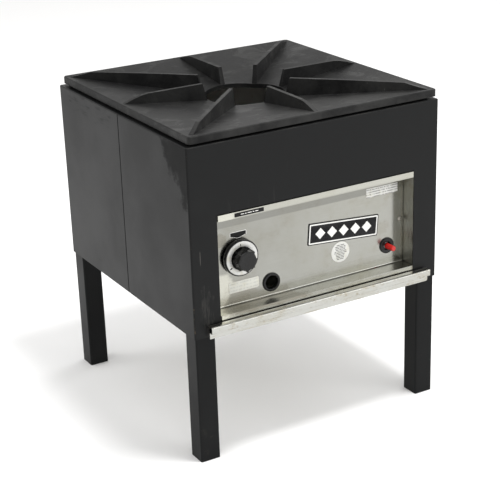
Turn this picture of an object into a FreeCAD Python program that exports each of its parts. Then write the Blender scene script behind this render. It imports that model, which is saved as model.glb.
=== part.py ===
"""Free-standing gas stove for one stock pot: a painted sheet cabinet on four square legs, a loose cast top,
a recessed control panel, a drip tray that pulls out and the gas train and burner inside.

Millimetres. X is left to right, the front faces -Y, Z is up. The origin is on the floor under the middle."""
import FreeCAD, Part
import math
import os
import re

import Sketcher
from FreeCAD import Placement, Rotation, Vector

# ---------------------------------------------------------------- sizes

SIZES = {
    # cabinet
    "cabinet_width": 508, "cabinet_bottom": 237.4, "cabinet_top": 575.7, "sheet": 1.5,
    "seam_gap": 1.0, "sheet_flange": 14, "corner_bend": 3, "edge_bend": 2,
    "cutout_left": -202.5, "cutout_right": 202, "cutout_top": 452, "pipe_opening": 24,
    # legs and the angle frame that carries the top
    "leg_tube": 38, "leg_wall": 2, "leg_inset": 2.5, "leg_bend": 3, "leg_cap": 3,
    "angle_side": 25, "angle_wall": 3, "frame_reach": 239.5, "rest_height": 579.5,
    "burner_rail_base": 452, "bar_width": 25, "bar_thick": 5, "bar_place": 75,
    # cast top
    "top_width": 500, "top_depth": 502, "top_shift_x": 3.5, "top_shift_y": 1,
    "rim_height": 592.4, "rim_flat": 3, "bowl_slope": 0.12, "bowl_floor": 50, "casting": 7.5,
    "throat_radius": 76, "top_corner": 7, "top_edge": 1.5, "rim_seat": 207,
    "pot_height": 603.6, "rib_top": 7, "rib_root": 10.5, "rib_start": 77.5, "rib_shoulder": 87,
    "rib_flat_end": 196, "side_rib_end": 247, "corner_rib_end": 338, "corner_root_fall": 1.1,
    "lug_side": 12, "lug_depth": 14, "lug_gap": 6,
    # heat liner
    "liner_reach": 175, "liner_sheet": 1.2, "liner_bottom": 462, "liner_shelf": 558, "liner_lip": 13,
    "liner_screw_place": 120, "screw_radius": 2.4, "screw_hole": 2.5, "screw_head": 4.6,
    "screw_head_thick": 2.6, "panel_screw_length": 8,
    # control panel
    "panel_plane": -222.6, "panel_sheet": 1.2, "panel_left": -200.5, "panel_right": 201,
    "panel_top": 450, "panel_brow": 439, "panel_sill": 269, "panel_lip": 260.4,
    "cheek_flange": 16, "panel_screw_x": 194.3, "panel_screw_z": 353.1,
    # burner
    "burner_top": 490, "burner_base": 463, "ring_outer": 105, "ring_inner": 58, "ring_width": 19,
    "ring_slope": 5, "hub_radius": 23, "hub_base": 446, "hub_drop": 4, "spoke_width": 15, "spoke_drop": 8,
    "port_radius": 1.5, "port_depth": 5, "hub_bore_end": 475,
    "foot_radius": 9, "bolt_radius": 3, "bolt_hole": 3.15, "bolt_head": 5.8, "bolt_head_thick": 4,
    "mixer_height": 422, "mixer_mouth": -150, "mixer_end": 22, "mouth_radius": 30, "mouth_length": 6,
    "flare_length": 24, "throat_place": 42, "taper_end": 110, "flare_radius": 21, "throat_outer": 17,
    "mixer_radius": 20, "mixer_wall": 3.5, "mixer_flange": 31, "mixer_flange_thick": 5,
    "shutter_gap": 0.5, "shutter_thick": 1.5, "shutter_radius": 30, "air_slot_place": 19,
    "air_slot_radius": 7.5, "shutter_tab": 10, "shutter_tab_length": 9,
    "running_fit": 0.05, "spud_radius": 8, "spud_hex": 11, "spud_nut": 9, "jet_radius": 4,
    "jet_length": 10, "jet_bore": 0.9, "spud_end": 3,
    # gas train
    "valve_x": -145.5, "valve_z": 356, "valve_radius": 17, "valve_back": -174, "valve_nut_thick": 5,
    "stem_radius": 4, "stem_end": -199, "port_boss": 9.5, "valve_port": 28, "train_plane": -195,
    "supply_tube": 12.7, "tube_wall": 1.2, "supply_bend": 17, "manifold_tube_size": 15.9,
    "manifold_bend": 22, "manifold_rise": 62,
    "button_x": 165, "button_z": 307, "safety_radius": 21, "safety_front": -216, "safety_back": -165,
    "safety_side_port": 30, "safety_top_port": 29, "pilot_boss": 6, "lead_boss": 5,
    "safety_nut_thick": 15, "pipe_size": 26.7, "pipe_bore": 20.9, "pipe_end": 270.5,
    "thread_radius": 12.8, "thread_length": 14, "relief_radius": 12.2, "relief_length": 2,
    "bracket_reach": 22, "bracket_half": 20, "bracket_front": 225, "bracket_thick": 3,
    "nut_length": 10, "supply_nut": 10, "manifold_nut": 12, "pilot_nut": 6.5, "lead_nut": 5,
    "pilot_tube_size": 6.35, "lead_size": 3.2, "small_bend": 14, "pilot_run_z": 400, "lead_run_z": 385,
    "lead_port_y": -199, "pilot_port_y": -177,
    "pilot_x": -54, "pilot_y": -118, "pilot_z": 470, "pilot_stem": 6, "pilot_stem_length": 20,
    "hood_radius": 8, "hood_height": 10, "hood_mouth_half": 9, "lead_offset": 14,
    "pilot_plate": 2, "pilot_plate_left": 30, "pilot_plate_right": 20, "pilot_plate_front": 11,
    "pilot_plate_back": 14,
    # controls
    "skirt_radius": 33, "skirt_plane": -233.1, "skirt_wall": 2.4, "skirt_back": -225.4,
    "grip_radius": 21, "grip_face": -253, "grip_edge": 2, "knob_hub": 9, "stem_socket": 6,
    "dial_outer": 30.5, "dial_inner": 21.3, "foil": 0.4,
    "button_radius": 5.2, "button_edge": 1.2, "button_chamfer": 1.5, "button_tip": -245.5,
    "button_back": -227, "button_stem": 3, "button_socket": 6, "button_stem_end": -200,
    "button_bore_end": -193,
    "sight_x": -82.5, "sight_z": 293.6, "sight_flange": 17.2, "sight_bore": 12.4,
    "boot_flange": 15, "boot_bore": 7.4, "bushing_lip": 3, "bushing_depth": 5, "bushing_step": 2.6,
    "bushing_edge": 1.2,
    # plates and labels on the panel
    "badge_x": 70, "badge_z": 358, "badge_width": 150, "badge_height": 40.5, "badge_thick": 1.5,
    "badge_corner": 2.5, "badge_tilt": 4.7,
    "sticker_x": 63.5, "sticker_z": 317, "sticker_radius": 19.5, "label_thick": 0.3,
    "rating_left": -168, "rating_right": -107.5, "rating_base": 291, "rating_top": 311,
    "rating_corner": 3, "serial_left": 119.6, "serial_right": 188.7, "serial_base": 407,
    "serial_top": 424, "strip_left": -169, "strip_right": -112, "strip_base": 441, "strip_top": 448,
    "pointer_x": -145.7, "pointer_half": 15.2, "pointer_top": 401, "pointer_end": 394.8,
    "pointer_tip": 390.9, "pointer_tip_half": 2,
    # drip tray
    "tray_half": 198, "tray_front": -256, "tray_back": 215, "tray_floor": 240, "tray_sheet": 1.2,
    "tray_lip": 258.5, "tray_flange": 4.5, "handle_half": 229.5, "handle_top": 260,
    "handle_front": -270.5, "handle_back": -257.5, "handle_step": -262, "handle_hem": 248,
    "handle_foot": 235, "handle_bend": 2, "handle_sheet": 1.5, "rail_sheet": 2, "rail_gap": 1.5,
    "rail_ledge": 14, "rail_height": 18, "rail_half": 249, "rail_clearance": 0.4,
}

doc = FreeCAD.newDocument("stock_pot_stove")
sizes = doc.addObject("Spreadsheet::Sheet", "Sizes")
for row, (alias, size) in enumerate(SIZES.items(), start=1):
    sizes.set(f"A{row}", alias)
    sizes.set(f"B{row}", str(size))
    sizes.setAlias(f"B{row}", alias)
doc.recompute()

HALF = "cabinet_width / 2"
LEG_OUT = f"({HALF} - leg_inset)"
LEG_IN = f"({HALF} - leg_inset - leg_tube)"
LEG_MIDDLE = f"({HALF} - leg_inset - leg_tube / 2)"
LEG_TOP = "(rest_height - angle_side)"
PANEL_BACK = "(panel_plane + panel_sheet)"

pieces = []

# ---------------------------------------------------------------- helpers


def bound(text):
    """The expression with each size's name pointed at the sheet."""
    return re.sub(r"[a-z][a-z_]+", lambda m: f"Sizes.{m[0]}" if m[0] in SIZES else m[0], str(text))


def value(text):
    return float(sizes.evalExpression(str(text)))


def put(piece, x="0", y="0", z="0", rotation=None):
    """Place a piece; its position stays bound to the sheet."""
    if rotation:
        piece.Placement = Placement(Vector(), rotation)
    for axis, text in zip("xyz", (x, y, z)):
        piece.setExpression(f"Placement.Base.{axis}", bound(text))
    return piece


def named(piece, label):
    """Give a finished sub-part the name of its node."""
    piece.Label = label
    pieces.append(piece)
    return piece


def body(label):
    return named(doc.addObject("PartDesign::Body", label), label)


def sketch_on(part, plane, offset):
    """An empty sketch parallel to one of the body's origin planes."""
    made = part.newObject("Sketcher::SketchObject", f"{part.Name}_sketch")
    origin = [item for item in part.Origin.OriginFeatures if item.Role == f"{plane}_Plane"][0]
    made.AttachmentSupport = [(origin, "")]
    made.MapMode = "FlatFace"
    made.setExpression(".AttachmentOffset.Base.z", bound(offset))
    return made


def pin_point(made, geometry, point, across, up):
    for kind, text in (("DistanceX", across), ("DistanceY", up)):
        number = made.addConstraint(Sketcher.Constraint(kind, -1, 1, geometry, point, value(text)))
        made.setExpression(f"Constraints[{number}]", bound(text))


def polygon(made, points):
    """A closed outline whose corners are bound to the sheet."""
    first = made.GeometryCount
    ends = [Vector(value(across), value(up), 0) for across, up in points]
    for start, end in zip(ends, ends[1:] + ends[:1]):
        made.addGeometry(Part.LineSegment(start, end), False)
    for step, (across, up) in enumerate(points):
        following = first + (step + 1) % len(points)
        made.addConstraint(Sketcher.Constraint("Coincident", first + step, 2, following, 1))
        pin_point(made, first + step, 1, across, up)


def circle(made, across, up, radius):
    centre = Vector(value(across), value(up), 0)
    number = made.addGeometry(Part.Circle(centre, Vector(0, 0, 1), value(radius)), False)
    pin_point(made, number, 3, across, up)
    size = made.addConstraint(Sketcher.Constraint("Radius", number, value(radius)))
    made.setExpression(f"Constraints[{size}]", bound(radius))


def rectangle(left, bottom, right, top):
    return [(left, bottom), (right, bottom), (right, top), (left, top)]


def square(half):
    return rectangle(f"-({half})", f"-({half})", half, half)


def draw(made, outlines):
    """Outlines are point lists, or (across, up, radius) circles."""
    for outline in outlines:
        if isinstance(outline, tuple):
            circle(made, *outline)
        else:
            polygon(made, outline)


def extrude(part, kind, plane, outlines, start, end):
    """A Pad or Pocket between two coordinates on the axis normal to the plane."""
    base = f"-({end})" if plane == "XZ" else start
    made = sketch_on(part, plane, base)
    draw(made, outlines)
    feature = part.newObject(f"PartDesign::{kind}", f"{part.Name}_{kind}")
    feature.Profile = made
    feature.Reversed = kind == "Pocket"
    feature.setExpression("Length", bound(f"({end}) - ({start})"))
    doc.recompute()
    return feature


def pad(part, plane, outlines, start, end):
    return extrude(part, "Pad", plane, outlines, start, end)


def pocket(part, plane, outlines, start, end):
    before = part.Shape.Volume
    feature = extrude(part, "Pocket", plane, outlines, start, end)
    if part.Shape.Volume > before - 1e-3:
        raise ValueError(f"a pocket in {part.Label} cuts nothing")
    return feature


def spin(part, outline, kind="Revolution"):
    """Turn an outline drawn in the XZ plane about the vertical axis."""
    made = sketch_on(part, "XZ", "0")
    draw(made, [outline])
    feature = part.newObject(f"PartDesign::{kind}", f"{part.Name}_{kind}")
    feature.Profile = made
    feature.ReferenceAxis = (made, ["V_Axis"])
    feature.Angle = 360
    doc.recompute()
    return feature


def around(part, features, count):
    """Repeat features about the vertical axis."""
    pattern = part.newObject("PartDesign::PolarPattern", f"{part.Name}_pattern")
    pattern.Originals = features
    axis = [item for item in part.Origin.OriginFeatures if item.Role == "Z_Axis"][0]
    pattern.Axis = (axis, [""])
    pattern.Angle = 360
    pattern.Occurrences = count
    part.Tip = pattern
    doc.recompute()
    return pattern


def soften(part, kind, radius, chosen):
    """Fillet or chamfer the edges that a test picks."""
    base = part.Tip
    edges = [f"Edge{number}" for number, edge in enumerate(base.Shape.Edges, start=1) if chosen(edge)]
    feature = part.newObject(f"PartDesign::{kind}", f"{part.Name}_{kind}")
    feature.Base = (base, edges)
    feature.setExpression("Radius" if kind == "Fillet" else "Size", bound(radius))
    doc.recompute()
    return feature


def upright(edge):
    return edge.BoundBox.ZLength > 1 and edge.BoundBox.DiagonalLength - edge.BoundBox.ZLength < 0.01


def level_at(height):
    """A test for edges that lie flat at one height."""
    def chosen(edge):
        box = edge.BoundBox
        return box.ZLength < 0.01 and abs(box.ZMax - value(height)) < 0.01
    return chosen


def rod(axis, radius, start, end, across="0", up="0"):
    """A Part cylinder along X, Y or Z between two coordinates."""
    made = doc.addObject("Part::Cylinder", "rod")
    made.setExpression("Radius", bound(radius))
    made.setExpression("Height", bound(f"({end}) - ({start})"))
    if axis == "X":
        return put(made, start, across, up, Rotation(Vector(0, 1, 0), 90))
    if axis == "Y":
        return put(made, across, start, up, Rotation(Vector(1, 0, 0), -90))
    return put(made, across, up, start)


def hexagon(axis, radius, start, end, across="0", up="0"):
    """A six-sided Part prism along X, Y or Z between two coordinates."""
    made = doc.addObject("Part::Prism", "hexagon")
    made.Polygon = 6
    made.setExpression("Circumradius", bound(radius))
    made.setExpression("Height", bound(f"({end}) - ({start})"))
    if axis == "X":
        return put(made, start, across, up, Rotation(Vector(0, 1, 0), 90))
    if axis == "Y":
        return put(made, across, start, up, Rotation(Vector(1, 0, 0), -90))
    return put(made, across, up, start)


def box(low, high):
    """A Part box between two corners."""
    made = doc.addObject("Part::Box", "box")
    for name, start, end in zip(("Length", "Width", "Height"), low, high):
        made.setExpression(name, bound(f"({end}) - ({start})"))
    return put(made, *low)


def frustum(low, low_half, high, high_half):
    """A Part wedge: four flat slopes between a square at one height and a square above it."""
    made = doc.addObject("Part::Wedge", "frustum")
    for axis in ("X", "Z"):
        for end, sign in (("min", "-"), ("max", "")):
            made.setExpression(f"{axis}{end}", bound(f"{sign}({low_half})"))
            made.setExpression(f"{axis}2{end}", bound(f"{sign}({high_half})"))
    made.setExpression("Ymin", "0")
    made.setExpression("Ymax", bound(f"({high}) - ({low})"))
    return put(made, z=low, rotation=Rotation(Vector(1, 0, 0), 90))


def fuse(*shapes):
    made = doc.addObject("Part::MultiFuse", "fuse")
    made.Shapes = list(shapes)
    return made


def cut(base, tool):
    made = doc.addObject("Part::Cut", "cut")
    made.Base = base
    made.Tool = tool
    return made


def group(label, shapes):
    """Identical small pieces that stay separate solids in one node."""
    made = doc.addObject("Part::Compound", label)
    made.Links = shapes
    return named(made, label)


def screw(axis, way, face, depth, across, up):
    """A pan-head screw: its head stands on a face and its shank runs in along the axis, +1 or -1 way."""
    head_end = f"({face}) - ({way}) * screw_head_thick"
    tip = f"({face}) + ({way}) * ({depth})"
    spans = (head_end, face, tip) if way > 0 else (tip, face, head_end)
    head_span, shank_span = (spans[:2], spans[1:]) if way > 0 else (spans[1:], spans[:2])
    head = rod(axis, "screw_head", *head_span, across, up)
    shank = rod(axis, "screw_radius", *shank_span, across, up)
    return fuse(head, shank)


def bent_tube(label, points, outer, wall, bend):
    """A tube along straight runs joined by tangent arcs. The points are expressions."""
    stops = [Vector(*(value(text) for text in point)) for point in points]
    radius = value(bend)
    edges = []
    here = stops[0]
    for corner, after in zip(stops[1:-1], stops[2:]):
        into = (corner - here).normalize()
        out = (after - corner).normalize()
        turn = into.getAngle(out)
        back = radius * math.tan(turn / 2)
        arc_start, arc_end = corner - into * back, corner + out * back
        inward = (out - into).normalize()
        middle = corner + inward * (radius / math.cos(turn / 2) - radius)
        edges.append(Part.makeLine(here, arc_start))
        edges.append(Part.Arc(arc_start, middle, arc_end).toShape())
        here = arc_end
    edges.append(Part.makeLine(here, stops[-1]))
    path = Part.Wire(edges)
    start_way = (stops[1] - stops[0]).normalize()

    def swept(size):
        ring = Part.Wire(Part.makeCircle(size, stops[0], start_way))
        return path.makePipeShell([ring], True, True)

    made = doc.addObject("Part::Feature", label)
    shape = swept(value(outer) / 2)
    if wall:
        shape = shape.cut(swept(value(outer) / 2 - value(wall)))
    made.Shape = shape
    made.Placement = Placement()
    return named(made, label)


# ---------------------------------------------------------------- cabinet


def wrap(label, side):
    """Half of the cabinet: one sheet bent around a face and half of each side. Side is -1 or +1 along Y."""
    part = body(label)
    edge = f"({side} * seam_gap / 2)"
    face = f"({side} * ({HALF}))"

    def bent(depth, start, end):
        inner_x = f"({HALF} - ({depth}))"
        inner_y = f"({side} * ({HALF} - ({depth})))"
        outline = [(f"-({HALF})", edge), (f"-({HALF})", face), (HALF, face), (HALF, edge),
                   (inner_x, edge), (inner_x, inner_y), (f"-{inner_x}", inner_y), (f"-{inner_x}", edge)]
        pad(part, "XY", [outline], start, end)

    bent("sheet", "cabinet_bottom", "cabinet_top")
    bent("sheet_flange", "cabinet_top - sheet", "cabinet_top")
    reach = value(HALF)

    def outer_corner(edge_):
        middle = edge_.BoundBox.Center
        return upright(edge_) and abs(middle.x) > reach - 0.1 and abs(middle.y) > reach - 0.1

    def inner_corner(edge_):
        middle = edge_.BoundBox.Center
        inside = reach - value("sheet")
        return upright(edge_) and abs(abs(middle.x) - inside) < 0.1 and abs(abs(middle.y) - inside) < 0.1

    soften(part, "Fillet", "corner_bend", outer_corner)
    soften(part, "Fillet", "corner_bend - sheet", inner_corner)
    top = level_at("cabinet_top")

    def top_rim(edge_):
        middle = edge_.BoundBox.Center
        on_face = max(abs(middle.x), abs(middle.y)) > reach - 1.6
        return top(edge_) and on_face and edge_.BoundBox.DiagonalLength < 600 and edge_.Length > 3

    soften(part, "Fillet", "edge_bend", top_rim)
    return part


def front_wrap():
    part = wrap("front_wrap", -1)
    opening = rectangle("cutout_left", "cabinet_bottom - 5", "cutout_right", "cutout_top")
    pocket(part, "XZ", [opening], f"-({HALF}) - 5", f"-({HALF}) + 5")


def rear_wrap():
    part = wrap("rear_wrap", 1)
    pocket(part, "XZ", [("button_x", "button_z", "pipe_opening")], f"{HALF} - 5", f"{HALF} + 5")


def leg(label, side_x, side_y):
    """Square tube that stands on the floor and carries a corner of the top frame."""
    part = body(label)
    inside = "leg_tube / 2 - leg_wall"
    pad(part, "XY", [square("leg_tube / 2")], "0", LEG_TOP)
    pocket(part, "XY", [square(inside)], "0", LEG_TOP)
    reach = value("leg_tube / 2") - 0.1
    soften(part, "Fillet", "leg_bend", lambda edge: upright(edge) and abs(edge.BoundBox.Center.x) > reach)
    put(part, f"{side_x} * {LEG_MIDDLE}", f"{side_y} * {LEG_MIDDLE}")


def leg_caps():
    """Square plates that close the feet of the legs."""
    inside = "(leg_tube / 2 - leg_wall)"
    caps = []
    for side_x in (-1, 1):
        for side_y in (-1, 1):
            middle_x, middle_y = f"{side_x} * {LEG_MIDDLE}", f"{side_y} * {LEG_MIDDLE}"
            low = (f"{middle_x} - {inside}", f"{middle_y} - {inside}", "0")
            high = (f"{middle_x} + {inside}", f"{middle_y} + {inside}", "leg_cap")
            caps.append(box(low, high))
    group("leg_end_caps", caps)


def top_rail(label, quarter, shorter):
    """Angle iron under the cast top. The long rails lie front and rear, the short ones fit between them."""
    part = body(label)
    face = "(-frame_reach)"
    outline = [(face, LEG_TOP), (f"{face} + angle_wall", LEG_TOP),
               (f"{face} + angle_wall", "rest_height - angle_wall"),
               (f"{face} + angle_side", "rest_height - angle_wall"),
               (f"{face} + angle_side", "rest_height"), (face, "rest_height")]
    half = f"(frame_reach - {shorter})"
    pad(part, "YZ", [outline], f"-{half}", half)
    holes = [(f"{side} * liner_screw_place", "liner_shelf + liner_lip / 2", "screw_hole") for side in (-1, 1)]
    pocket(part, "XZ", holes, f"{face} - 1", f"{face} + angle_wall + 1")
    part.Placement = Placement(Vector(), Rotation(Vector(0, 0, 1), 90 * quarter))


def burner_rail(label, quarter):
    """Angle iron between two legs, with its flat side down to carry the burner bars."""
    part = body(label)
    base = "burner_rail_base"
    outline = [(f"-{LEG_OUT}", base), (f"-{LEG_OUT} + angle_side", base),
               (f"-{LEG_OUT} + angle_side", f"{base} + angle_wall"),
               (f"-{LEG_OUT} + angle_wall", f"{base} + angle_wall"),
               (f"-{LEG_OUT} + angle_wall", f"{base} + angle_side"), (f"-{LEG_OUT}", f"{base} + angle_side")]
    pad(part, "YZ", [outline], f"-{LEG_IN}", LEG_IN)
    part.Placement = Placement(Vector(), Rotation(Vector(0, 0, 1), 90 * quarter))


# ---------------------------------------------------------------- cast top

RIM_RISE = "(top_width / 2 - throat_radius) * bowl_slope"
BOWL_FLOOR = "(rim_height - (top_width / 2 - rim_flat - bowl_floor) * bowl_slope)"


def rib(angle, outline):
    """One drafted rib: its side outline, thinned towards the top."""
    side = doc.addObject("Sketcher::SketchObject", "rib_side")
    side.Placement = Placement(Vector(), Rotation(Vector(1, 0, 0), 90))
    draw(side, [outline])
    across = doc.addObject("Sketcher::SketchObject", "rib_section")
    across.Placement = Placement(Vector(), Rotation(Vector(1, 1, 1), 120))
    low, high = "rim_height - 40", "pot_height + 1"
    draw(across, [[("-rib_root / 2", low), ("rib_root / 2", low),
                   ("rib_top / 2", high), ("-rib_top / 2", high)]])
    doc.recompute()
    slab = doc.addObject("Part::Extrusion", "rib_slab")
    slab.Base, slab.Dir, slab.Solid, slab.Symmetric = side, Vector(0, 1, 0), True, True
    slab.setExpression("LengthFwd", bound("rib_root * 2"))
    prism = doc.addObject("Part::Extrusion", "rib_prism")
    prism.Base, prism.Dir, prism.Solid = across, Vector(1, 0, 0), True
    prism.setExpression("LengthFwd", bound("corner_rib_end + 10"))
    made = doc.addObject("Part::Common", "rib")
    made.Base, made.Tool = slab, prism
    made.Placement = Placement(Vector(), Rotation(Vector(0, 0, 1), angle))
    return made


def rib_outline(end, drop, fall):
    """Side view of a rib. Its root sinks into the bowl; drop lists (how far before the end, how far below the
    pot's height) along the falling outer end."""
    root = "(rim_height - 3)"
    outline = [("rib_start", f"{root} - {RIM_RISE} * {fall}"), (end, root)]
    outline += [(f"{end} - {back}", f"pot_height - {below}") for back, below in drop]
    outline += [("rib_flat_end", "pot_height"), ("rib_shoulder", "pot_height")]
    return outline


def top_grate():
    """The cast top: a square dish that falls to a round throat, with eight ribs that carry the pot."""
    slab = doc.addObject("PartDesign::Body", "top_slab")
    half_x, half_y = "top_width / 2", "top_depth / 2"
    outline = rectangle(f"-{half_x}", f"-{half_y}", half_x, half_y)
    pad(slab, "XY", [outline], "rest_height", "rim_height")
    reach = value(half_x) - 0.1
    soften(slab, "Fillet", "top_corner", lambda edge: upright(edge) and abs(edge.BoundBox.Center.x) > reach)
    soften(slab, "Chamfer", "top_edge", level_at("rim_height"))
    under = frustum(f"{BOWL_FLOOR} - casting", "bowl_floor", "rest_height + 1", "rim_seat")
    bowl = frustum(BOWL_FLOOR, "bowl_floor", "rim_height + 1", "top_width / 2 - rim_flat + 1 / bowl_slope")
    throat = rod("Z", "throat_radius", "rest_height - 40", "rim_height + 5")
    ribs = []
    for step in range(4):
        side_drop = ((4, 11.5), (14, 8.2), (26, 4.6), (38, 1.6))
        corner_drop = ((1, 11.6), (16, 8.4), (32, 4.0), (42, 1.2))
        ribs.append(rib(90 * step, rib_outline("side_rib_end", side_drop, 1)))
        ribs.append(rib(90 * step + 45, rib_outline("corner_rib_end", corner_drop, "corner_root_fall")))
    lugs = []
    inner = "(frame_reach - angle_side - lug_gap)"
    for side_x in (-1, 1):
        for side_y in (-1, 1):
            low_x = f"{side_x} * {inner} - lug_side / 2 - {side_x} * lug_side / 2"
            low_y = f"{side_y} * {inner} - lug_side / 2 - {side_y} * lug_side / 2"
            low = (low_x, low_y, "rest_height - lug_depth")
            high = (f"{low_x} + lug_side", f"{low_y} + lug_side", "rest_height + 2")
            lugs.append(box(low, high))
    dish = cut(fuse(slab, under), fuse(bowl, throat))
    top = fuse(dish, *ribs, *lugs)
    put(named(top, "top_grate"), "top_shift_x", "top_shift_y")


# ---------------------------------------------------------------- heat liner


def liner(label, quarter, shorter):
    """A sheet wall around the burner, hung from the top frame by a shelf and a lip."""
    part = body(label)
    wall, shelf = "(-liner_reach)", "liner_shelf"
    hook = "(-frame_reach + angle_wall)"
    outline = [(wall, "liner_bottom"), (f"{wall} + liner_sheet", "liner_bottom"),
               (f"{wall} + liner_sheet", f"{shelf} + liner_sheet"),
               (f"{hook} + liner_sheet", f"{shelf} + liner_sheet"),
               (f"{hook} + liner_sheet", f"{shelf} + liner_lip"), (hook, f"{shelf} + liner_lip"),
               (hook, shelf), (wall, shelf)]
    half = f"(liner_reach - {shorter})"
    pad(part, "YZ", [outline], f"-{half}", half)
    holes = [(f"{side} * liner_screw_place", f"{shelf} + liner_lip / 2", "screw_hole") for side in (-1, 1)]
    pocket(part, "XZ", holes, f"{hook} - 1", f"{hook} + liner_sheet + 1")
    part.Placement = Placement(Vector(), Rotation(Vector(0, 0, 1), 90 * quarter))


def liner_screws():
    height = "liner_shelf + liner_lip / 2"
    face = "(frame_reach - angle_wall - liner_sheet)"
    depth = "angle_wall + liner_sheet + 2"
    screws = []
    for side in (-1, 1):
        for place in (-1, 1):
            across = f"{place} * liner_screw_place"
            screws.append(screw("Y", side, f"{side} * {face}", depth, across, height))
            screws.append(screw("X", side, f"{side} * {face}", depth, across, height))
    group("liner_screws", screws)


# ---------------------------------------------------------------- burner


def burner_bar(label, side):
    """Flat bar from the front burner rail to the rear one."""
    part = body(label)
    middle = f"({side} * bar_place)"
    reach = f"({LEG_OUT} - angle_wall - 1)"
    base = "burner_rail_base + angle_wall"
    outline = rectangle(f"{middle} - bar_width / 2", f"-{reach}", f"{middle} + bar_width / 2", reach)
    pad(part, "XY", [outline], base, f"{base} + bar_thick")
    holes = [(middle, f"{end} * {foot_reach()}", "bolt_hole") for end in (-1, 1)]
    pocket(part, "XY", holes, f"{base} - 1", f"{base} + bar_thick + 1")


def foot_reach():
    """How far in front of and behind the middle the outer ring crosses a bar."""
    return "sqrt((ring_outer - ring_width / 2) ^ 2 - bar_place ^ 2)"


def burner_ring():
    """Cast burner head: two rings of ports, a hub and four spokes, on four feet."""
    part = body("burner_ring")
    for outer in ("ring_outer", "ring_inner"):
        inner = f"{outer} - ring_width"
        spin(part, [(inner, "burner_base"), (outer, "burner_base"), (outer, "burner_top - ring_slope"),
                    (f"{outer} - ring_slope", "burner_top"), (f"{inner} + ring_slope", "burner_top"),
                    (inner, "burner_top - ring_slope")])
        if outer == "ring_outer":
            half = "spoke_width / 2"
            spoke = rectangle("0", f"-{half}", "ring_outer - ring_width / 2", half)
            arm = pad(part, "XY", [spoke], "burner_base", "burner_top - spoke_drop")
            around(part, [arm], 4)
    pad(part, "XY", [("0", "0", "hub_radius")], "hub_base", "burner_top - hub_drop")
    feet = [(f"{x} * bar_place", f"{y} * {foot_reach()}", "foot_radius") for x in (-1, 1) for y in (-1, 1)]
    foot_base = "burner_rail_base + angle_wall + bar_thick"
    pad(part, "XY", feet, foot_base, "burner_base + 4")
    bolts = [(x, y, "bolt_hole") for x, y, _ in feet]
    pocket(part, "XY", bolts, f"{foot_base} - 1", "burner_base + 9")
    for outer, count in (("ring_outer", 36), ("ring_inner", 18)):
        hole = (f"{outer} - ring_width / 2", "0", "port_radius")
        port = pocket(part, "XY", [hole], "burner_top - port_depth", "burner_top + 1")
        around(part, [port], count)
    pocket(part, "XY", [("0", "0", "mixer_radius - mixer_wall")], "hub_base - 1", "hub_bore_end")


def burner_bolts():
    """Bolts that hold the burner's feet down on the bars."""
    base = "burner_rail_base + angle_wall"
    bolts = []
    for side_x in (-1, 1):
        for side_y in (-1, 1):
            across, up = f"{side_x} * bar_place", f"{side_y} * {foot_reach()}"
            head = hexagon("Z", "bolt_head", f"{base} - bolt_head_thick", base, across, up)
            shank = rod("Z", "bolt_radius", base, "burner_base + 8", across, up)
            bolts.append(fuse(head, shank))
    group("burner_bolts", bolts)


def mixing_tube():
    """Venturi: air and gas enter the flared mouth and turn up into the burner hub."""
    part = body("mixing_tube")
    length = "(mixer_end - mixer_mouth)"
    spin(part, [("0", "0"), ("mouth_radius", "0"), ("mouth_radius - 1", "mouth_length"),
                ("flare_radius", "flare_length"), ("throat_outer", "throat_place"),
                ("mixer_radius", "taper_end"), ("mixer_radius", length), ("0", length)])
    hub = "(-mixer_mouth)"
    rise = "(hub_base - mixer_height)"
    pad(part, "XZ", [("0", hub, "mixer_radius - 1")], f"-{rise}", "0")
    pad(part, "XZ", [("0", hub, "mixer_flange")], f"-{rise}", f"-{rise} + mixer_flange_thick")
    bore = "mixer_radius - mixer_wall"
    pocket(part, "XZ", [("0", hub, bore)], f"-{rise} - 1", "0")
    spin(part, [("0", "-1"), ("mouth_radius - mixer_wall", "-1"), ("mouth_radius - 4", "mouth_length"),
                ("flare_radius - mixer_wall - 0.5", "flare_length"),
                ("throat_outer - mixer_wall", "throat_place"), (bore, "taper_end"),
                (bore, f"{length} - mixer_wall"), ("0", f"{length} - mixer_wall")], "Groove")
    put(part, "0", "mixer_mouth", "mixer_height", Rotation(Vector(1, 0, 0), -90))


def air_shutter():
    """Slotted disc in front of the mixing tube's mouth, with a tab to turn it by."""
    part = body("air_shutter")
    pad(part, "XY", [("0", "0", "shutter_radius"), ("0", "0", "spud_radius + running_fit")],
        "0", "shutter_thick")
    slot = pocket(part, "XY", [("air_slot_place", "0", "air_slot_radius")], "-1", "shutter_thick + 1")
    around(part, [slot], 4)
    tab = rectangle("shutter_radius - 2", "-shutter_tab / 2", "shutter_radius + shutter_tab_length",
                    "shutter_tab / 2")
    pad(part, "XY", [tab], "0", "shutter_thick")
    put(part, "0", "mixer_mouth - shutter_gap - shutter_thick", "mixer_height",
        Rotation(Vector(1, 0, 0), -90) * Rotation(Vector(0, 0, 1), 45))


SPUD_BACK = "(mixer_mouth - 18)"


def orifice_holder():
    """Brass fitting that carries the gas jet and the air shutter."""
    place = ("0", "mixer_height")
    seat, tip = "mixer_mouth + spud_end", "mixer_mouth + spud_end + jet_length"
    shank = rod("Y", "spud_radius", f"{SPUD_BACK} + spud_nut", seat, *place)
    nut = hexagon("Y", "spud_hex", SPUD_BACK, f"{SPUD_BACK} + spud_nut", *place)
    jet = rod("Y", "jet_radius", seat, tip, *place)
    hole = rod("Y", "jet_bore", f"{seat} - 1", f"{tip} + 1", *place)
    named(cut(fuse(shank, nut, jet), hole), "orifice_holder")


# ---------------------------------------------------------------- gas train

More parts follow.
